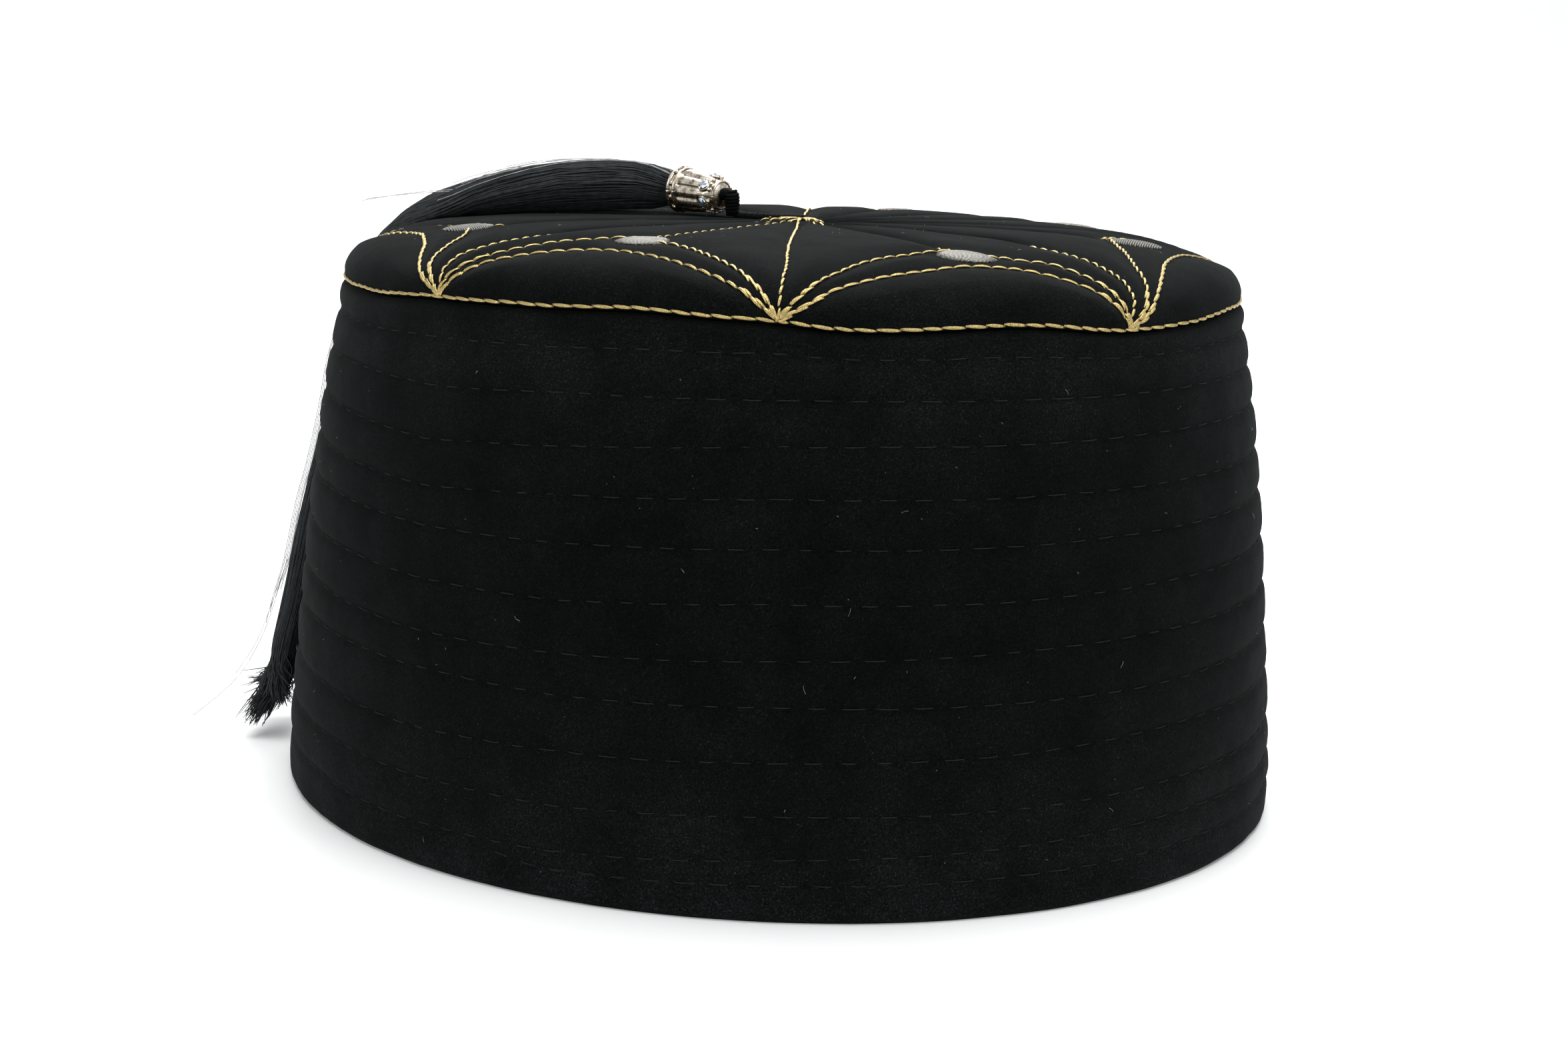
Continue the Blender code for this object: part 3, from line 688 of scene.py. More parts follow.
# The camera and the light
def make_camera():
    data = bpy.data.cameras.new("camera")
    data.lens = CAMERA_LENS
    data.sensor_width = SENSOR_WIDTH
    data.sensor_fit = "HORIZONTAL"
    data.clip_start = 0.01
    data.clip_end = 20.0
    camera = add_object("camera", data)
    ahead = Vector((
        math.sin(CAMERA_TURN) * math.cos(CAMERA_DOWN),
        math.cos(CAMERA_TURN) * math.cos(CAMERA_DOWN),
        -math.sin(CAMERA_DOWN),
    ))
    level = Vector((math.cos(CAMERA_TURN), -math.sin(CAMERA_TURN), 0.0))
    above = level.cross(ahead)
    right = level * math.cos(CAMERA_ROLL) + above * math.sin(CAMERA_ROLL)
    up = above * math.cos(CAMERA_ROLL) - level * math.sin(CAMERA_ROLL)
    axes = Matrix((right, up, -ahead)).transposed()
    camera.matrix_world = Matrix.Translation(CAMERA_PLACE) @ axes.to_4x4()
    bpy.context.scene.camera = camera


def area_light(name, place, target, size, power):
    data = bpy.data.lights.new(name, "AREA")
    data.shape = "DISK"
    data.size = size
    data.energy = power
    facing = (target - place).to_track_quat("-Z", "Y").to_matrix().to_4x4()
    add_object(name, data).matrix_world = Matrix.Translation(place) @ facing


def make_stage():
    """A pale floor that sweeps up behind into a backdrop, under large soft lights."""
    bpy.context.scene.view_settings.view_transform = "Standard"
    sections = [(radius, 0.0) for radius in FLOOR_RADII]
    edge = FLOOR_RADII[-1]
    for step in range(1, 9):
        angle = step / 8 * math.pi / 2
        sections.append((edge + FLOOR_SWEEP * math.sin(angle), FLOOR_SWEEP * (1 - math.cos(angle))))
    sections.append((edge + FLOOR_SWEEP, BACKDROP_HEIGHT))
    sweep = Builder()
    rings = []
    for radius, height in sections:
        rings.append([polar(radius, azimuth, height) for azimuth in turns(FLOOR_STEPS)])
    sweep.rings(rings)
    sweep.faces.append(tuple(range(FLOOR_STEPS)))
    mesh = bpy.data.meshes.new("floor")
    mesh.from_pydata(sweep.points, [], sweep.faces)
    mesh.update()
    mesh.shade_smooth()
    mesh.materials.append(floor_material("floor"))
    floor = add_object("floor", mesh)
    world = bpy.data.worlds.new("studio")
    world.use_nodes = True
    put(world.node_tree.nodes["Background"], {"Color": (0.97, 0.985, 1.0, 1.0), "Strength": 0.62})
    bpy.context.scene.world = world
    middle = Vector((0.0, 0.0, 0.06))
    area_light("overhead", Vector((0.1, 0.25, 1.7)), middle, 1.6, 36.0)
    area_light("front_left", Vector((-1.3, -1.4, 1.3)), middle, 1.0, 12.0)
    area_light("front_right", Vector((1.5, -0.9, 1.1)), middle, 1.0, 11.0)
    area_light("back", Vector((0.0, 2.2, 1.6)), Vector((0.0, 1.8, 0.0)), 1.6, 40.0)


# The embroidery's lines on the crown
def share_of_radius(radius):
    """Where a radius lies on the dome, from 0 at its middle to 1 at its equator."""
    part = min(max(radius / CROWN_RADIUS, 0.0), 1.0)
    return math.asin(part ** (CROWN_PLAN_POWER / 2)) * 2 / math.pi


def dome_point(share, azimuth):
    """A point of the turned dome, and the way that it faces."""
    angle = share * math.pi / 2
    across = CROWN_RADIUS * math.sin(angle) ** (2 / CROWN_PLAN_POWER)
    rise = max(math.cos(angle), 0.0) ** (2 / CROWN_RISE_POWER)
    out = CROWN_PLAN_POWER / CROWN_RADIUS * (across / CROWN_RADIUS) ** (CROWN_PLAN_POWER - 1)
    up = CROWN_RISE_POWER / CROWN_RISE * rise ** (CROWN_RISE_POWER - 1)
    facing = polar(out, azimuth, up).normalized()
    return polar(across, azimuth, CROWN_EQUATOR + CROWN_RISE * rise), facing


DISC_MIDDLES = []
for disc_azimuth, disc_radius in DISCS:
    DISC_MIDDLES.append(dome_point(share_of_radius(disc_radius * MM), math.radians(disc_azimuth))[0])


def spot_on_dome(flat):
    """A place of the plan as its share and its azimuth on the dome."""
    return share_of_radius(flat.length), math.atan2(flat.x, -flat.y)


def line_from_rows(rows, start, end):
    """A smooth line (share, azimuth) through rows of (share of the way, radius mm)."""
    knots = [(share_of_radius(radius * MM), start + (end - start) * way) for way, radius in rows]
    count = 8 * len(knots)
    return [curve_through(knots, number / count) for number in range(count + 1)]


def ray_line(foot):
    """The straight line from a fan's foot to the pattern's centre, with its swing in the photograph."""
    swing = RAYS_SEEN.get(foot, ((0.0, 0.0), (1.0, 0.0)))
    start = polar(CROWN_RADIUS, math.radians(foot), 0.0).to_2d()
    result = []
    for number in range(RAY_STEPS + 1):
        way = (number / RAY_STEPS) ** 1.5
        flat = start.lerp(PATTERN_CENTRE, way)
        turn = math.radians(between(swing, way))
        radius = min(flat.length, CROWN_RADIUS)
        azimuth = math.atan2(flat.x, -flat.y) + turn * min(1.0, 4 * (1 - way))
        result.append([share_of_radius(radius), azimuth])
    return result


def dot_line(azimuth, radius):
    """The line from a disc to the pattern's centre."""
    start = polar(radius * MM - DISC_RADIUS, math.radians(azimuth), 0.0).to_2d()
    return [spot_on_dome(start.lerp(PATTERN_CENTRE, number / 40)) for number in range(41)]


def rim_line():
    """The couched line at the crown's edge."""
    return [[1.0, angle] for angle in turns(RIM_STEPS) + [2 * math.pi]]


def embroidery_lines():
    """Every line of the gold embroidery, by kind."""
    lines = {"rim": [rim_line()], "arch": [], "petal": [], "ray": [], "dots": []}
    feet = list(FAN_FEET)
    for first, last in zip(feet, feet[1:]):
        rows = ARCHES_SEEN.get(first, ARCH)
        lines["arch"].append(line_from_rows(rows, math.radians(first), math.radians(last)))
    for number, (azimuth, radius) in enumerate(DISCS):
        for foot in feet[number:number + 2]:
            rows = PETALS_SEEN.get((foot, azimuth), PETAL)
            lines["petal"].append(line_from_rows(rows, math.radians(foot), math.radians(azimuth)))
        lines["dots"].append(dot_line(azimuth, radius))
    for foot in feet[:-1]:
        lines["ray"].append(ray_line(foot))
    return lines


def line_tree(lines):
    """A search tree of points along the lines, on the turned dome."""
    places = []
    for kind, group in lines.items():
        for number, line in enumerate(group):
            weight = DEEP_LINES
            if kind == "dots" and number == SHALLOW_DOT_LINE:
                weight = SHALLOW_DOTS
            elif kind in ("rim", "arch") or (kind, number) in SHALLOW_LINES:
                weight = 1.0
            for share, azimuth in line:
                place = dome_point(share, azimuth)[0]
                outside = grown(math.hypot(place.x, place.y) / MM, DEPTHS_MEET)
                places.append((place, weight + (1 - weight) * outside))
    tree = KDTree(len(places))
    for number, (place, _) in enumerate(places):
        tree.insert(place, number)
    tree.balance()
    return tree, [weight for _, weight in places]


def crown_relief(point, radius, tree, weights):
    """How far the cloth stands proud of the dome: puffed between the lines, drawn in along them."""
    _, number, distance = tree.find(point)
    puff = CROWN_PUFF + (CROWN_RIM_PUFF - CROWN_PUFF) * grown(radius / MM, PUFF_GROWS)
    calm = 1.0
    if DISC_ZONE[0] < radius < DISC_ZONE[1]:
        beside = min((point - middle).length for middle in DISC_MIDDLES)
        calm = 0.15 + 0.85 * grown(beside, DISC_CALM)
    reach = PUFF_REACH + (PUFF_RIM_REACH - PUFF_REACH) * grown(radius / MM, REACH_GROWS)
    relief = puff * calm * (1 - math.exp(-(distance / reach) ** 2))
    sink = between(THREAD_SINK, radius / MM) * MM * weights[number] * calm
    relief -= sink * math.exp(-(distance / THREAD_SINK_WIDTH) ** 2)
    return relief + CLOTH_WAVE * noise.noise(point * 90) + CLOTH_GRAIN * noise.noise(point * 260)


def on_crown(share, azimuth, tree, weights, lift=0.0):
    """A point of the finished crown, and the way that it faces there."""
    point, facing = dome_point(share, azimuth)
    radius = math.hypot(point.x, point.y)
    relief = crown_relief(point, radius, tree, weights)
    return soft_place(point + facing * (relief + lift)), facing


def make_crown(tree, weights, material):
    """The padded crown: its outer dome, the roll under its edge, and its hollow underside."""
    azimuths = turns(CROWN_STEPS)
    shares = [share_of_radius(CROWN_RING_STEP * ring) for ring in range(1, CROWN_RINGS + 1)]
    edge = shares[-1]
    for ring in range(1, CROWN_EDGE_RINGS + 1):
        shares.append(edge + (1 - edge) * ring / CROWN_EDGE_RINGS)
    rings = []
    for share in shares:
        rings.append([on_crown(share, azimuth, tree, weights)[0] for azimuth in azimuths])
    for step, (drop, radius) in enumerate(CROWN_ROLL):
        fade = 1 - (step + 1) / len(CROWN_ROLL)
        ring = []
        for azimuth in azimuths:
            relief = crown_relief(dome_point(1.0, azimuth)[0], CROWN_RADIUS, tree, weights) * fade
            ring.append(soft_place(polar(radius * MM + relief, azimuth, CROWN_EQUATOR - drop * MM)))
        rings.append(ring)
    underside = SEAM_HEIGHT + GAP
    inner_radius = between(BAND_SECTION, SEAM_ROW) * MM - BAND_WALL
    inner_rise = CROWN_EQUATOR + CROWN_RISE - CROWN_PAD - underside
    for step in range(CEILING_RINGS):
        angle = (1 - step / CEILING_RINGS) * math.pi / 2
        radius = inner_radius * math.sin(angle) ** (2 / CROWN_PLAN_POWER)
        height = underside + inner_rise * max(math.cos(angle), 0.0) ** (2 / CROWN_RISE_POWER)
        rings.append([soft_place(polar(radius, azimuth, height)) for azimuth in azimuths])
    top = on_crown(0.0, 0.0, tree, weights)[0]
    ceiling = soft_place(Vector((0, 0, underside + inner_rise)))
    skin = Builder()
    skin.rings(rings, (top, ceiling))
    crown = skin.make("crown_velvet", material)
    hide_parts("crown")
    return crown


# The band
def row_height(number, azimuth):
    """The height of one row of quilting, which wanders a little as a sewn row does."""
    turn = Vector((math.sin(azimuth), math.cos(azimuth), 3.7 * number))
    height = STITCH_ROWS[number] * MM + ROW_WANDER * noise.noise(turn * 1.6)
    height += ROW_TREMOR * noise.noise(turn * 7.0)
    degrees = from_front(azimuth)
    height += between(ROW_STRAYS[number], degrees) * MM
    if number == 0:
        merge = ease((HEM_MERGE + HEM_MERGE_WIDTH / 2 - degrees) / HEM_MERGE_WIDTH)
        merge *= grown(degrees, HEM_MERGE_FADES)
        height += merge * (row_height(1, azimuth) - height)
    return height


def row_heights(azimuth):
    return [row_height(number, azimuth) for number in range(len(STITCH_ROWS))]


def band_radius(height, rows):
    """The outer radius of the band: ribs between the rows of stitches, drawn in at each row."""
    level = height / MM
    radius = curve_radius(level) * MM
    nearest = min(abs(height - row) for row in rows)
    below = 0.0
    above = None
    for row in rows:
        if row <= height:
            below = max(below, row)
        elif above is None or row < above:
            above = row
    if above is None:
        above = SEAM_HEIGHT + 3 * MM
    span = max(above - below, 0.1 * MM)
    share = (height - below) / span
    fullness = min(span / RIB_FULL_SPAN, 1.0)
    rib = RIB_PUFF * fullness * (1 - abs(2 * share - 1) ** 2.4)
    if below == 0.0:
        rib *= 0.5
    return radius + rib - SEAM_SINK * math.exp(-(nearest / SEAM_SINK_WIDTH) ** 2)


def curve_radius(level):
    """The band's plain profile, smoothed where its rows meet."""
    spread = 2.0
    total = between(BAND_FACE, level) * 2
    total += between(BAND_FACE, min(level + spread, SEAM_ROW)) + between(BAND_FACE, level - spread)
    return total / 4


def make_band(material):
    """The quilted wall: its outer face from the hem up, its lip at the seam, and its plain inner face."""
    azimuths = turns(BAND_STEPS)
    heights = [height * MM for height in BAND_FOOT]
    level = BAND_FOOT[-1]
    while level < SEAM_ROW - 0.8:
        level += BAND_RING_STEP
        heights.append(min(level, SEAM_ROW) * MM)
    heights.append(SEAM_HEIGHT)
    rows_at = [row_heights(azimuth) for azimuth in azimuths]
    rings = []
    for height in heights:
        ring = []
        tuck = BAND_TUCK * (1 - min(height / (BAND_FOOT[-1] * MM), 1.0)) ** 2
        for azimuth, rows in zip(azimuths, rows_at):
            radius = band_radius(height, rows) - tuck
            turn = Vector((math.sin(azimuth), math.cos(azimuth), height * 22))
            radius += VELVET_WAVE * noise.noise(turn * 9) + VELVET_GRAIN * noise.noise(turn * 30)
            ring.append(soft_place(polar(radius, azimuth, height)))
        rings.append(ring)
    for level, radius in BAND_LIP:
        rings.append([soft_place(polar(radius * MM, azimuth, level * MM)) for azimuth in azimuths])
    for level, radius in reversed(BAND_SECTION):
        height = min(level, SEAM_ROW) * MM
        inside = radius * MM - BAND_WALL
        rings.append([soft_place(polar(inside, azimuth, height)) for azimuth in azimuths])
    rings.append(rings[0])
    skin = Builder()
    skin.rings(rings[::-1])
    band = skin.make("band_velvet", material)
    weld_ends(band)
    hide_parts("band")
    return band


def weld_ends(piece):
    """Joins the first and the last ring of a skin that closes on itself."""
    cage = bmesh.new()
    cage.from_mesh(piece.data)
    bmesh.ops.remove_doubles(cage, verts=cage.verts, dist=0.001 * MM)
    cage.to_mesh(piece.data)
    cage.free()


def band_place(azimuth, height, lift):
    """A point at or above the band's outer face."""
    return soft_place(polar(band_radius(height, row_heights(azimuth)) + lift, azimuth, height))


def make_quilting(material):
    """The rows of plain running stitch on the band."""
    chance = random.Random(12)
    threads = Builder()
    for number, level in enumerate(STITCH_ROWS):
        radius = between(BAND_SECTION, level) * MM
        count = round(2 * math.pi * radius / QUILT_PERIOD)
        offset = chance.random()
        for index in range(count):
            azimuth = 2 * math.pi * (index + offset) / count
            if number == 0 and HEM_MERGE_END < from_front(azimuth) < HEM_MERGE:
                continue
            span = QUILT_STITCH * chance.uniform(0.82, 1.12) / radius
            slant = chance.uniform(-1.0, 1.0) * QUILT_SLANT
            path = []
            radii = []
            for knot in range(QUILT_KNOTS):
                share = knot / (QUILT_KNOTS - 1)
                turn = azimuth + (share - 0.5) * span
                height = row_height(number, turn) + slant * (share - 0.5)
                lift = QUILT_ARCH * math.sin(math.pi * share) ** 0.6 - QUILT_SINK
                path.append(band_place(turn, height, lift))
                radii.append(QUILT_THREAD * (0.75 + 0.25 * math.sin(math.pi * share)))
            threads.tube(path, radii, 4, up=polar(1.0, azimuth, 0.0))
    piece = threads.make("band_quilting", material)


# Embroidery stitches
def measured(line, tree, weights):
    """The line's places on the finished crown with the run up to each."""
    places = []
    run = 0.0
    for share, azimuth in line:
        place, facing = on_crown(share, azimuth, tree, weights)
        if places:
            run += (place - places[-1][1]).length
        places.append((run, place, facing))
    return places


def place_at(places, run):
    """Reads the measured line at a run from its start."""
    low, high = 0, len(places) - 1
    while high - low > 1:
        middle = (low + high) // 2
        if places[middle][0] <= run:
            low = middle
        else:
            high = middle
    first, last = places[low], places[high]
    span = max(last[0] - first[0], 1e-9)
    share = min(max((run - first[0]) / span, 0.0), 1.0)
    return first[1].lerp(last[1], share), first[2].lerp(last[2], share).normalized()


def sew(out, places, start, length, shape, chance):
    """One stitch: strands that rise out of the cloth, lie side by side and go back in."""
    strands, thickness, spread, rise = shape
    beside = chance.uniform(-0.05, 0.05) * MM
    lean = chance.uniform(0.7, 1.2) * STITCH_LEAN
    turn_over = chance.choice((-1, 1)) * chance.uniform(0.3, 0.8)
    for strand in range(strands):
        middle = strand - (strands - 1) / 2
        path = []
        radii = []
        for knot in range(STITCH_KNOTS):
            share = knot / (STITCH_KNOTS - 1)
            run = start + length * share
            place, facing = place_at(places, run)
            along = place_at(places, run + STITCH_PROBE)[0] - place_at(places, run - STITCH_PROBE)[0]
            side = along.normalized().cross(facing).normalized()
            arch = math.sin(math.pi * share)
            sweep = middle * math.cos(turn_over * (share - 0.5) * math.pi)
            lift = (rise + STITCH_SINK) * arch ** 0.5 - STITCH_SINK
            lift += (0.06 * MM * math.cos(middle * 2.2)) * arch
            aside = spread * sweep * (0.5 + 0.5 * arch ** 0.7) + beside + lean * (share - 0.5)
            path.append(place + side * aside + facing * lift)
            radii.append(thickness * (0.62 + 0.38 * arch ** 0.5))
        out.tube(path, radii, 5, up=facing)


def sew_line(out, line, tree, weights, chance, length, gap, shape, start=0.0, end=None, shift=0.0):
    """Stitches along a line, end to end or with gaps."""
    places = measured(line, tree, weights)
    total = places[-1][0] if end is None else min(end, places[-1][0])
    run = start
    if shift:
        moved = []
        path = [place for _, place, _ in places]
        for index, (at, place, facing) in enumerate(places):
            side = heading(path, index).normalized().cross(facing).normalized()
            moved.append((at, place + side * shift, facing))
        places = moved
    while run < total - 0.5 * MM:
        stitch = min(length * chance.uniform(0.88, 1.12), total - run)
        sew(out, places, run, stitch, shape, chance)
        run += stitch + gap * chance.uniform(0.7, 1.3)


def make_embroidery(lines, tree, weights, gold):
    """The gold stitches, one by one, and doubled on both sides of each fan."""
    chance = random.Random(7)
    rim = Builder()
    arches = Builder()
    rays = Builder()

    def stitch(out, line, length, gap, ply, start=0.0, end=None, shift=0.0):
        sew_line(out, line, tree, weights, chance, length * MM, gap * MM, ply, start, end, shift)

    for line in lines["rim"]:
        stitch(rim, line, 3.9, -0.3, RIM_PLY)
    for line in lines["arch"]:
        stitch(arches, line, 3.4, -0.2, ARCH_PLY)
        for half in (line, line[::-1]):
            stitch(arches, half, 2.8, 0.15, TWO_PLY, 0.0, 9 * MM, 0.35 * MM)
    for line in lines["petal"]:
        stitch(arches, line, 3.1, -0.1, TWO_PLY)
        stitch(arches, line, 2.7, 0.15, TWO_PLY, 0.4 * MM, 12 * MM, -0.3 * MM)
    for line in lines["ray"]:
        stitch(rays, line, 2.3, 0.1, TWO_PLY)
    for line in lines["dots"]:
        stitch(rays, line, 1.9, 1.3, FINE_PLY)
    for azimuth in turns(STAR_POINTS):
        line = []
        for step in range(9):
            flat = PATTERN_CENTRE + polar(STAR_RADIUS * step / 8 + 0.1 * MM, azimuth, 0.0).to_2d()
            line.append(spot_on_dome(flat))
        stitch(rays, line, 4.2, 0.1, TWO_PLY)
    for builder, name in ((rim, "gold_rim_stitches"), (arches, "gold_arches"), (rays, "gold_rays")):
        piece = builder.make(name, gold)


def make_discs(tree, weights, silver):
    """The round dots of silver satin stitch, threads side by side and raised in the middle."""
    chance = random.Random(3)
    threads = Builder()
    for azimuth, radius in DISCS:
        middle = polar(radius * MM, math.radians(azimuth), 0.0).to_2d()
        inward = -middle.normalized()
        along = Vector((-inward.y, inward.x))
        for number in range(DISC_THREADS):
            across = (number + 0.5) / DISC_THREADS * 2 - 1
            half = DISC_RADIUS * math.sqrt(max(1 - abs(across) ** 2.1, 0.02)) * chance.uniform(0.95, 1.04)
            path = []
            radii = []
            for knot in range(9):
                share = knot / 8 * 2 - 1
                flat = middle + inward * (across * DISC_RADIUS * 0.94) + along * (share * half)
                dome = max(1 - (flat - middle).length_squared / DISC_RADIUS ** 2, 0.0)
                lift = DISC_DOME * dome ** 0.4 - DISC_SINK
                if knot in (0, 8):
                    lift *= 0.5
                place, facing = on_crown(*spot_on_dome(flat), tree, weights, lift)
                path.append(place)
                radii.append(DISC_THREAD * (0.8 + 0.2 * (1 - share ** 2)))
            threads.tube(path, radii, 5, up=facing)
    piece = threads.make("silver_dots", silver)


# The tassel
def make_cord(material):
    """The laid cord on the crown, from its middle to the knot."""
    count = 60
    line = []
    for number in range(count + 1):
        share = number / count
        flat = CORD_START.lerp(KNOT_ROOT.to_2d(), share)
        bend = CORD_BEND * math.sin(math.pi * share)
        place = soft_place(Vector((flat.x, flat.y - bend, CROWN_EQUATOR + CROWN_RISE)))
        line.append(place + Vector((0, 0, CORD_RADIUS - CORD_SINK)))
    line.insert(0, line[0] + CORD_END)
    cord = Builder()
    for ply in range(CORD_PLIES):
        path = []
        for index, place in enumerate(line):
            along = heading(line, index).normalized()
            side = along.cross(Vector((0, 0, 1))).normalized()
            up = side.cross(along)
            angle = 2 * math.pi * (ply / CORD_PLIES + index * 0.11)
            path.append(place + (side * math.cos(angle) + up * math.sin(angle)) * PLY_RADIUS)
        cord.tube(path, [PLY_RADIUS] * len(path), 6)
    piece = cord.make("tassel_cord_plies", material)
    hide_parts("tassel_cord")


def make_knot(material):
    """The knot beside the cap: the cord wound tightly round itself, with a short neck into the cap."""
    knot = Builder()
    steps = 220
    path = []
    for number in range(steps + 1):
        share = number / steps
        radius = 1.15 - 0.5 * abs(2 * share - 1) ** 4
        turn = circle_point(radius, 2 * math.pi * KNOT_TURNS * share, 0.5 + 4.4 * share)
        path.append(KNOT_ROOT + turn * MM)
    knot.tube(path, [0.36 * MM] * len(path), 8)
    core = [KNOT_ROOT + Vector((0, 0, height * MM)) for height in (0.1, 1.0, 2.5, 4.2, 5.1)]
    knot.tube(core, [radius * MM for radius in (1.1, 1.25, 1.3, 1.15, 0.5)], 16)
    start = KNOT_ROOT + Vector((0.0, 0.0, 3.9 * MM))
    inside = CAP_NARROW_END + (CAP_WIDE_END - CAP_NARROW_END).normalized() * 0.4 * MM
    shares = [number / 12 for number in range(13)]
    neck = []
    for share in shares:
        neck.append(start.lerp(inside, share) + Vector((0, 0, 0.4 * MM * math.sin(math.pi * share))))
    knot.tube(neck, [(1.15 - 0.1 * share) * MM for share in shares], 10)
    piece = knot.make("tassel_knot", material)


def cap_frame():
    axis = (CAP_WIDE_END - CAP_NARROW_END).normalized()
    return Matrix.Translation(CAP_NARROW_END) @ axis.to_track_quat("Z", "Y").to_matrix().to_4x4()


def cap_ring(place, radius, level, count):
    """A ring of points round the cap's axis. Its sizes are in millimetres."""
    return [place @ (circle_point(radius, angle, level) * MM) for angle in turns(count)]


def make_cap(silver, crystal):
    """The silver bell: lengthwise lobes, rings at its ends, balls, and a ring of set crystals."""
    place = cap_frame()
    length = CAP_PROFILE[-1][0]
    rings = []
    for number in range(65):
        level = length * number / 64
        radius = between(CAP_PROFILE, level)
        lobed = grown(level, CAP_RIBS_BEGIN) * ease((CAP_RIBS_END[0] - level) / CAP_RIBS_END[1])
        ring = []
        for angle in turns(CAP_STEPS):
            lobe = abs(math.cos(CAP_RIBS / 2 * angle)) ** 0.6
            size = radius + lobed * (CAP_RIB_RISE * lobe - CAP_RIB_SINK)
            ring.append(place @ (circle_point(size, angle, level) * MM))
        rings.append(ring)
    floor = length - CAP_RECESS_DEPTH
    rings.append(cap_ring(place, CAP_RECESS_RADIUS + 0.4, length + 0.12, CAP_STEPS))
    for level in (length, length - 1.0, floor):
        rings.append(cap_ring(place, CAP_RECESS_RADIUS, level, CAP_STEPS))
    bell = Builder()
    ends = (place @ Vector((0, 0, 0)), place @ (Vector((0, 0, floor)) * MM))
    bell.rings([ring[::-1] for ring in rings], ends)
    piece = bell.make("tassel_cap_bell", silver)
    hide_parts("tassel_cap")
    wires = Builder()
    for level, extra, thick in CAP_WIRES:
        ring = cap_ring(place, between(CAP_PROFILE, level) + extra, level, 96)
        wires.tube(ring + ring[:1], [thick * MM] * 97, 8)
    for level, count, size in CAP_BALLS:
        radius = between(CAP_PROFILE, level) + 0.25
        for number in range(count):
            angle = 2 * math.pi * (number + 0.5) / count
            add_ball(wires, place @ (circle_point(radius, angle, level) * MM), size * MM)
    piece = wires.make("tassel_cap_rings", silver)
    stones = Builder()
    settings = Builder()
    level, radius, shift = CRYSTAL_RING
    for number in range(CRYSTALS):
        angle = 2 * math.pi * (number + shift) / CRYSTALS
        seat = place @ Matrix.Rotation(angle, 4, "Z")
        seat = seat @ Matrix.Translation(Vector((radius, 0, level)) * MM)
        seat = seat @ Matrix.Rotation(math.pi / 2, 4, "Y")
        add_stone(stones, seat, CRYSTAL_RADIUS)
        ring = [seat @ (circle_point(1.22, around, 0.02) * MM) for around in turns(24)]
        settings.tube(ring + ring[:1], [0.16 * MM] * 25, 5)
        for side in (-1, 1):
            add_ball(settings, seat @ (Vector((side * 1.6, side * 0.3, 0.02)) * MM), 0.3 * MM)
    piece = stones.make("tassel_cap_crystals", crystal)
    piece.data.shade_flat()
    piece = settings.make("tassel_cap_settings", silver)


def add_ball(out, centre, radius):
    rings = []
    for row in range(1, 5):
        tilt = math.pi * row / 5
        ring = []
        for angle in turns(8):
            ring.append(centre + circle_point(math.sin(tilt), angle, math.cos(tilt)) * radius)
        rings.append(ring)
    out.rings(rings, (centre + Vector((0, 0, radius)), centre - Vector((0, 0, radius))))


def add_stone(out, seat, radius):
    """A cut stone: a table, eight crown facets, a girdle and a shallow back."""
    rings = []
    for part, height, shift in ((0.52, 0.55, 0.0), (0.86, 0.34, 0.5), (1.0, 0.0, 0.0), (0.6, -0.4, 0.0)):
        angles = [angle + shift * math.pi / 4 for angle in turns(8)]
        rings.append([seat @ (circle_point(part, angle, height) * radius) for angle in angles])
    out.rings(rings, (seat @ Vector((0, 0, 0.55 * radius)), seat @ Vector((0, 0, -0.4 * radius))))


def skein_sections(count):
    """The skein's places with its axes across and away from the hat, and its half sizes."""
    rows = [curve_through(SKEIN_ROUTE, number / (count - 1)) for number in range(count)]
    places = [Vector(row[:3]) * MM for row in rows]
    result = []
    for index, row in enumerate(rows):
        along = heading(places, index).normalized()
        away = places[index] - SKEIN_INSIDE
        away = (away - away.dot(along) * along).normalized()
        result.append((places[index], along.cross(away), away, row[3] * MM, row[4] * MM, along))
    return result


def clear_of_hat(path, hat, clearance):
    """Moves the points of a path out of the hat."""
    for index, place in enumerate(path):
        nearest, normal, _, distance = hat.find_nearest(place)
        if nearest is None:
            continue
        if (place - nearest).dot(normal) < 0 or distance < clearance:
            path[index] = nearest + normal * clearance


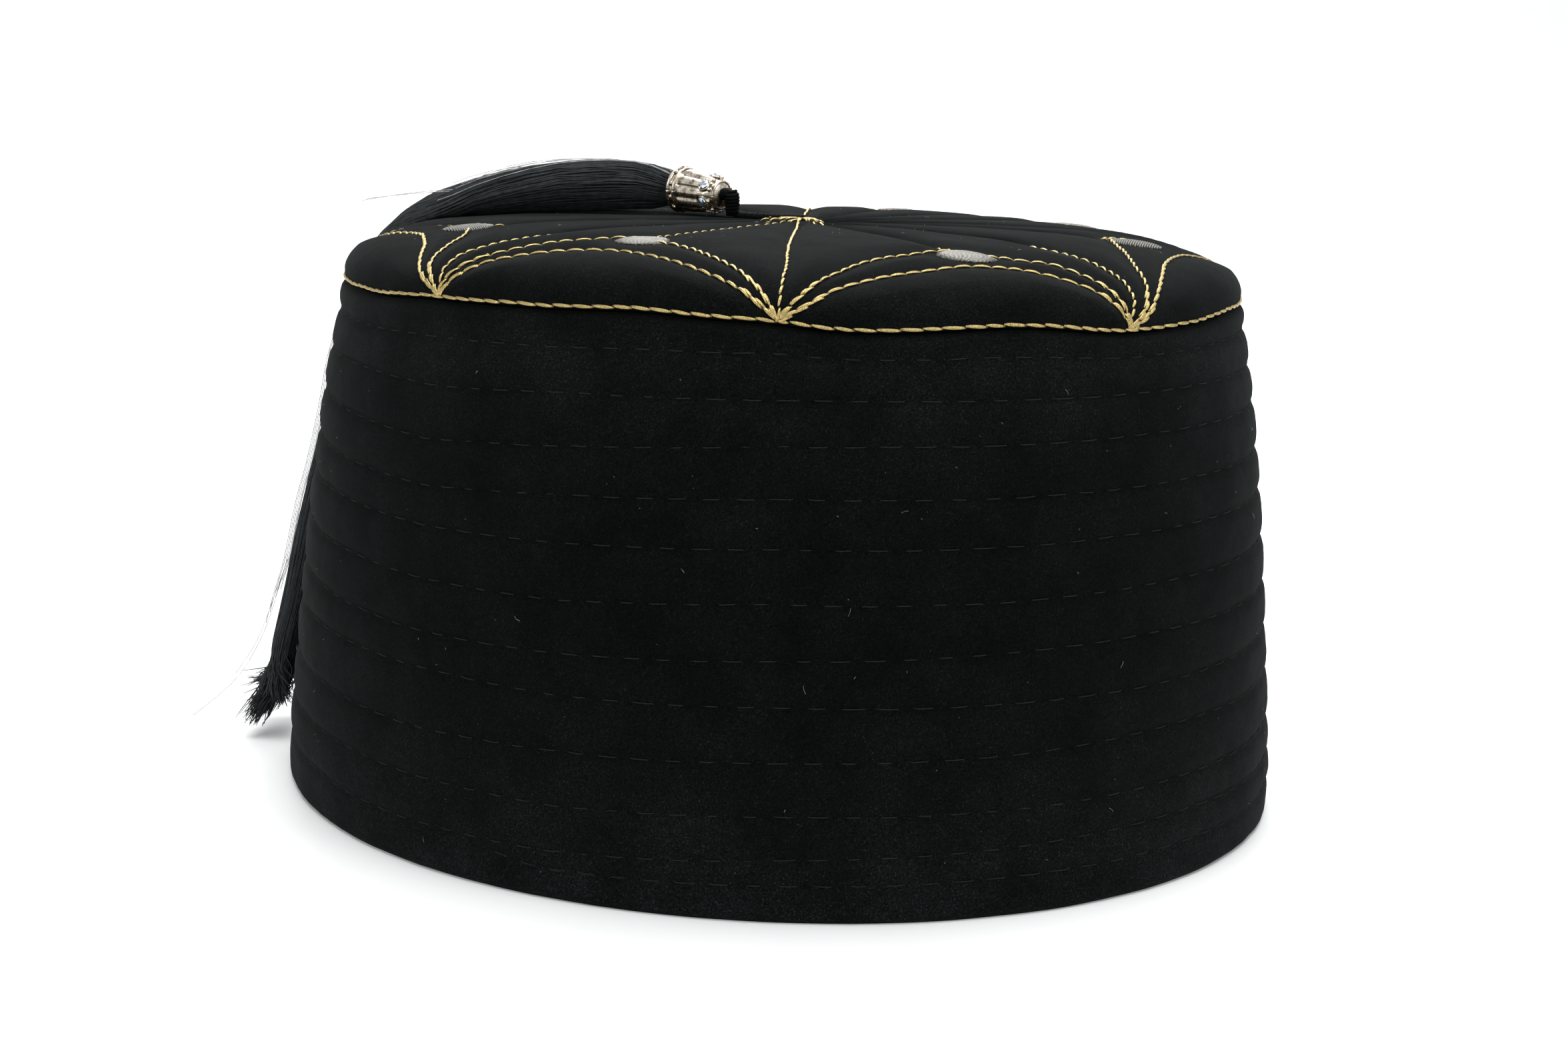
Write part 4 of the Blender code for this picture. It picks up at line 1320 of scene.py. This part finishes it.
def strand_path(sections, seat, chance, reach, frizz):
    """One strand from the cap to its free end. The seat is its place in the skein, about from -1 to 1."""
    a, b = seat
    count = len(sections)
    drift = [chance.uniform(-STRAND_DRIFT, STRAND_DRIFT) for _ in range(2)]
    phase = chance.uniform(0, 6.28)
    rate = chance.uniform(2.0, 4.5)
    lock = min(LOCK_TIPS, key=lambda row: abs(row[0] - a) + chance.uniform(0, 0.3))
    path = []
    last = int((count - 1) * min(reach, 1.0))
    for index in range(0, last + 1, STRAND_STEP):
        share = index / (count - 1)
        place, across, away, wide, deep, _ = sections[index]
        loose = ease(share * 5)
        bend = phase + rate * share * 3
        side = a + loose * (drift[0] * math.sin(bend) + 0.05 * math.sin(phase * 3 + share * 21))
        out = b + loose * (drift[1] * math.cos(bend) + 0.05 * math.cos(phase * 5 + share * 17))
        length = math.hypot(side, out)
        if length > SKEIN_EDGE:
            side, out = side / length * SKEIN_EDGE, out / length * SKEIN_EDGE
        gather = ease((share - LOCK_START) / (1 - LOCK_START))
        side += (lock[0] - side) * LOCK_PULL * gather
        out += (0.5 - out) * 0.3 * gather
        path.append(place + across * (side * wide) + away * (out * deep))
    if reach >= 1.0:
        along = sections[-1][5]
        tip = Vector(lock[1:]) * MM
        tip += Vector((chance.gauss(0, 0.9), chance.gauss(0, 1.0), 0)) * MM
        tip += (path[-1] - tip) * max(chance.gauss(0.12, 0.16), 0.0)
        tip.z = max(tip.z, LOWEST_TIP)
        start = path[-1]
        middle = start + along * (0.55 * (tip - start).length)
        curl = Vector((chance.gauss(0, 1), chance.gauss(0, 1), chance.gauss(0, 0.5))) * frizz
        for knot in range(1, 9):
            share = knot / 8
            place = start.lerp(middle, share).lerp(middle.lerp(tip, share), share)
            path.append(place + curl * (share ** 2 * math.sin(phase + 5 * share)))
    return path


def make_core(sections, hat, material):
    """The skein's solid middle, which narrows before the free ends."""
    core = Builder()
    places = sections[2:-8:4]
    rings = []
    for number, (place, across, away, wide, deep, _) in enumerate(places):
        thin = 1 - 0.75 * ease((number / len(places) - 0.78) / 0.22)
        wide *= thin
        deep *= thin
        ring = []
        for angle in turns(CORE_STEPS):
            side = across * (math.cos(angle) * wide * CORE_WIDTH)
            ring.append(place + side + away * (math.sin(angle) * deep * CORE_DEPTH))
        clear_of_hat(ring, hat, CORE_CLEARANCE)
        rings.append(ring)
    core.rings(rings, [sum(ring, Vector()) / CORE_STEPS for ring in (rings[0], rings[-1])])
    piece = core.make("tassel_skein_core", material)
    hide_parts("tassel_skein")


def make_skein(hat, black, pale, core_material):
    """The skein's strands: black ones round its core, a few silver ones, and loose ones beside it."""
    sections = skein_sections(127)
    chance = random.Random(21)
    make_core(sections, hat, core_material)
    for name in ("tassel_strands_a", "tassel_strands_b", "tassel_strands_c"):
        strands = Builder()
        for _ in range(STRANDS_A_PIECE):
            angle = chance.uniform(0, 2 * math.pi)
            lock = (angle * LOCKS / (2 * math.pi)) % 1.0
            depth = math.sqrt(chance.uniform(0.6, 1.0)) * (0.9 + 0.1 * math.sin(math.pi * lock))
            seat = (depth * math.cos(angle), depth * math.sin(angle))
            reach = 1.0 if chance.random() < 0.94 else chance.uniform(0.86, 0.98)
            path = strand_path(sections, seat, chance, reach, 1.1 * MM)
            clear_of_hat(path, hat, STRAND_CLEARANCE)
            width = chance.uniform(0.09, 0.14) * MM
            strands.tube(path, [width] * (len(path) - 1) + [width * 0.5], 3)
        piece = strands.make(name, black)
    fine = Builder()
    for _ in range(SILVER_STRANDS):
        angle = math.radians(chance.gauss(95, 30))
        depth = chance.uniform(0.85, 1.0)
        seat = (depth * math.cos(angle), depth * math.sin(angle))
        path = strand_path(sections, seat, chance, chance.uniform(0.22, 0.42), 2.0 * MM)
        lift = chance.uniform(0.2, 1.0) * MM
        for index in range(len(path)):
            away = sections[index * STRAND_STEP][2]
            share = index * STRAND_STEP / len(sections)
            path[index] += away * (lift * math.sin(math.pi * min(share * 1.2, 1.0)))
        clear_of_hat(path, hat, STRAND_CLEARANCE)
        fine.tube(path, [0.08 * MM] * len(path), 3)
    for stray in STRAYS:
        rows = [curve_through(stray, number / 14) for number in range(15)]
        fine.tube([Vector(row) * MM for row in rows], [0.08 * MM] * 15, 3)
    for _ in range(PALE_STRANDS):
        shift = Vector((chance.gauss(0.6, 0.8), chance.gauss(0, 1.3), 0))
        reach = chance.uniform(0.72, 1.0)
        path = []
        for number in range(33):
            share = reach * number / 32
            place = Vector(curve_through(PALE_ROUTE, share))
            path.append((place + shift * ease(share * 3)) * MM)
        clear_of_hat(path, hat, STRAND_CLEARANCE)
        fine.tube(path, [0.1 * MM] * len(path), 3)
    piece = fine.make("tassel_silver_strands", pale)


def make_lint(hat, material):
    """Dust and short fibres caught in the velvet."""
    chance = random.Random(5)
    lint = Builder()
    for _ in range(LINT_COUNT):
        azimuth = chance.uniform(0, 2 * math.pi)
        if chance.random() < 0.6:
            start = soft_place(polar(96 * MM, azimuth, chance.uniform(3, 90) * MM))
        else:
            start = soft_place(polar(chance.uniform(5, 80) * MM, azimuth, 109 * MM))
        nearest, normal, _, _ = hat.find_nearest(start)
        heading = Vector((chance.gauss(0, 1), chance.gauss(0, 1), chance.gauss(0, 1)))
        heading = (heading - heading.dot(normal) * normal).normalized()
        length = chance.choice(LINT_LENGTHS) * MM * chance.uniform(0.7, 1.3)
        bend = normal.cross(heading) * chance.uniform(-1.5, 1.5)
        path = []
        for share in (0.0, 0.25, 0.5, 0.75, 1.0):
            place = nearest + heading * (length * share) + bend * (length * share * share * 0.4)
            path.append(place + normal * ((0.05 + 0.12 * math.sin(math.pi * share)) * MM))
        lint.tube(path, [0.022 * MM] * 5, 3)
    piece = lint.make("velvet_lint", material)


def hat_tree(pieces):
    """A search tree of the hat's faces."""
    points = []
    faces = []
    for piece in pieces:
        first = len(points)
        points.extend(vertex.co.copy() for vertex in piece.data.vertices)
        faces.extend(tuple(first + index for index in face.vertices) for face in piece.data.polygons)
    return BVHTree.FromPolygons(points, faces)


def main():
    make_camera()
    make_stage()
    velvet = velvet_material("black_velvet")
    gold = thread_material("gold_thread", (0.1, 0.068, 0.018), (0.8, 0.63, 0.275), 0.36, 1.0, 1.6, 0.4)
    satin_dark, satin_light = (0.055, 0.053, 0.048), (0.225, 0.217, 0.192)
    satin = thread_material("silver_thread", satin_dark, satin_light, 0.5, 0.7, 0.5, 0.1)
    quilting_dark, quilting_light = (0.006, 0.0065, 0.0065), (0.022, 0.024, 0.024)
    quilting = thread_material("quilting_thread", quilting_dark, quilting_light, 0.8, 0.0, 1.6, 0.3)
    black = silk_material("black_rayon", (0.027, 0.0295, 0.031), (0.043, 0.047, 0.049), 0.85, 1.2)
    cord = silk_material("black_cord", (0.002, 0.0022, 0.0024), (0.007, 0.0075, 0.008), 0.6, 2.2)
    core = silk_material("black_core", (0.012, 0.013, 0.0135), (0.02, 0.0215, 0.022), 0.85, 1.2)
    pale = silk_material("silver_strand", (0.2, 0.2, 0.2), (0.55, 0.55, 0.54), 0.3, 1.2)
    fluff = silk_material("lint", (0.12, 0.13, 0.14), (0.5, 0.54, 0.58), 0.8, 1.0)
    lines = embroidery_lines()
    tree, weights = line_tree(lines)
    crown = make_crown(tree, weights, velvet)
    band = make_band(velvet)
    make_quilting(quilting)
    make_embroidery(lines, tree, weights, gold)
    make_discs(tree, weights, satin)
    make_cord(cord)
    make_knot(cord)
    make_cap(metal_material("silver"), crystal_material("crystal"))
    hat = hat_tree((crown, band))
    make_skein(hat, black, pale, core)
    make_lint(hat, fluff)


main()
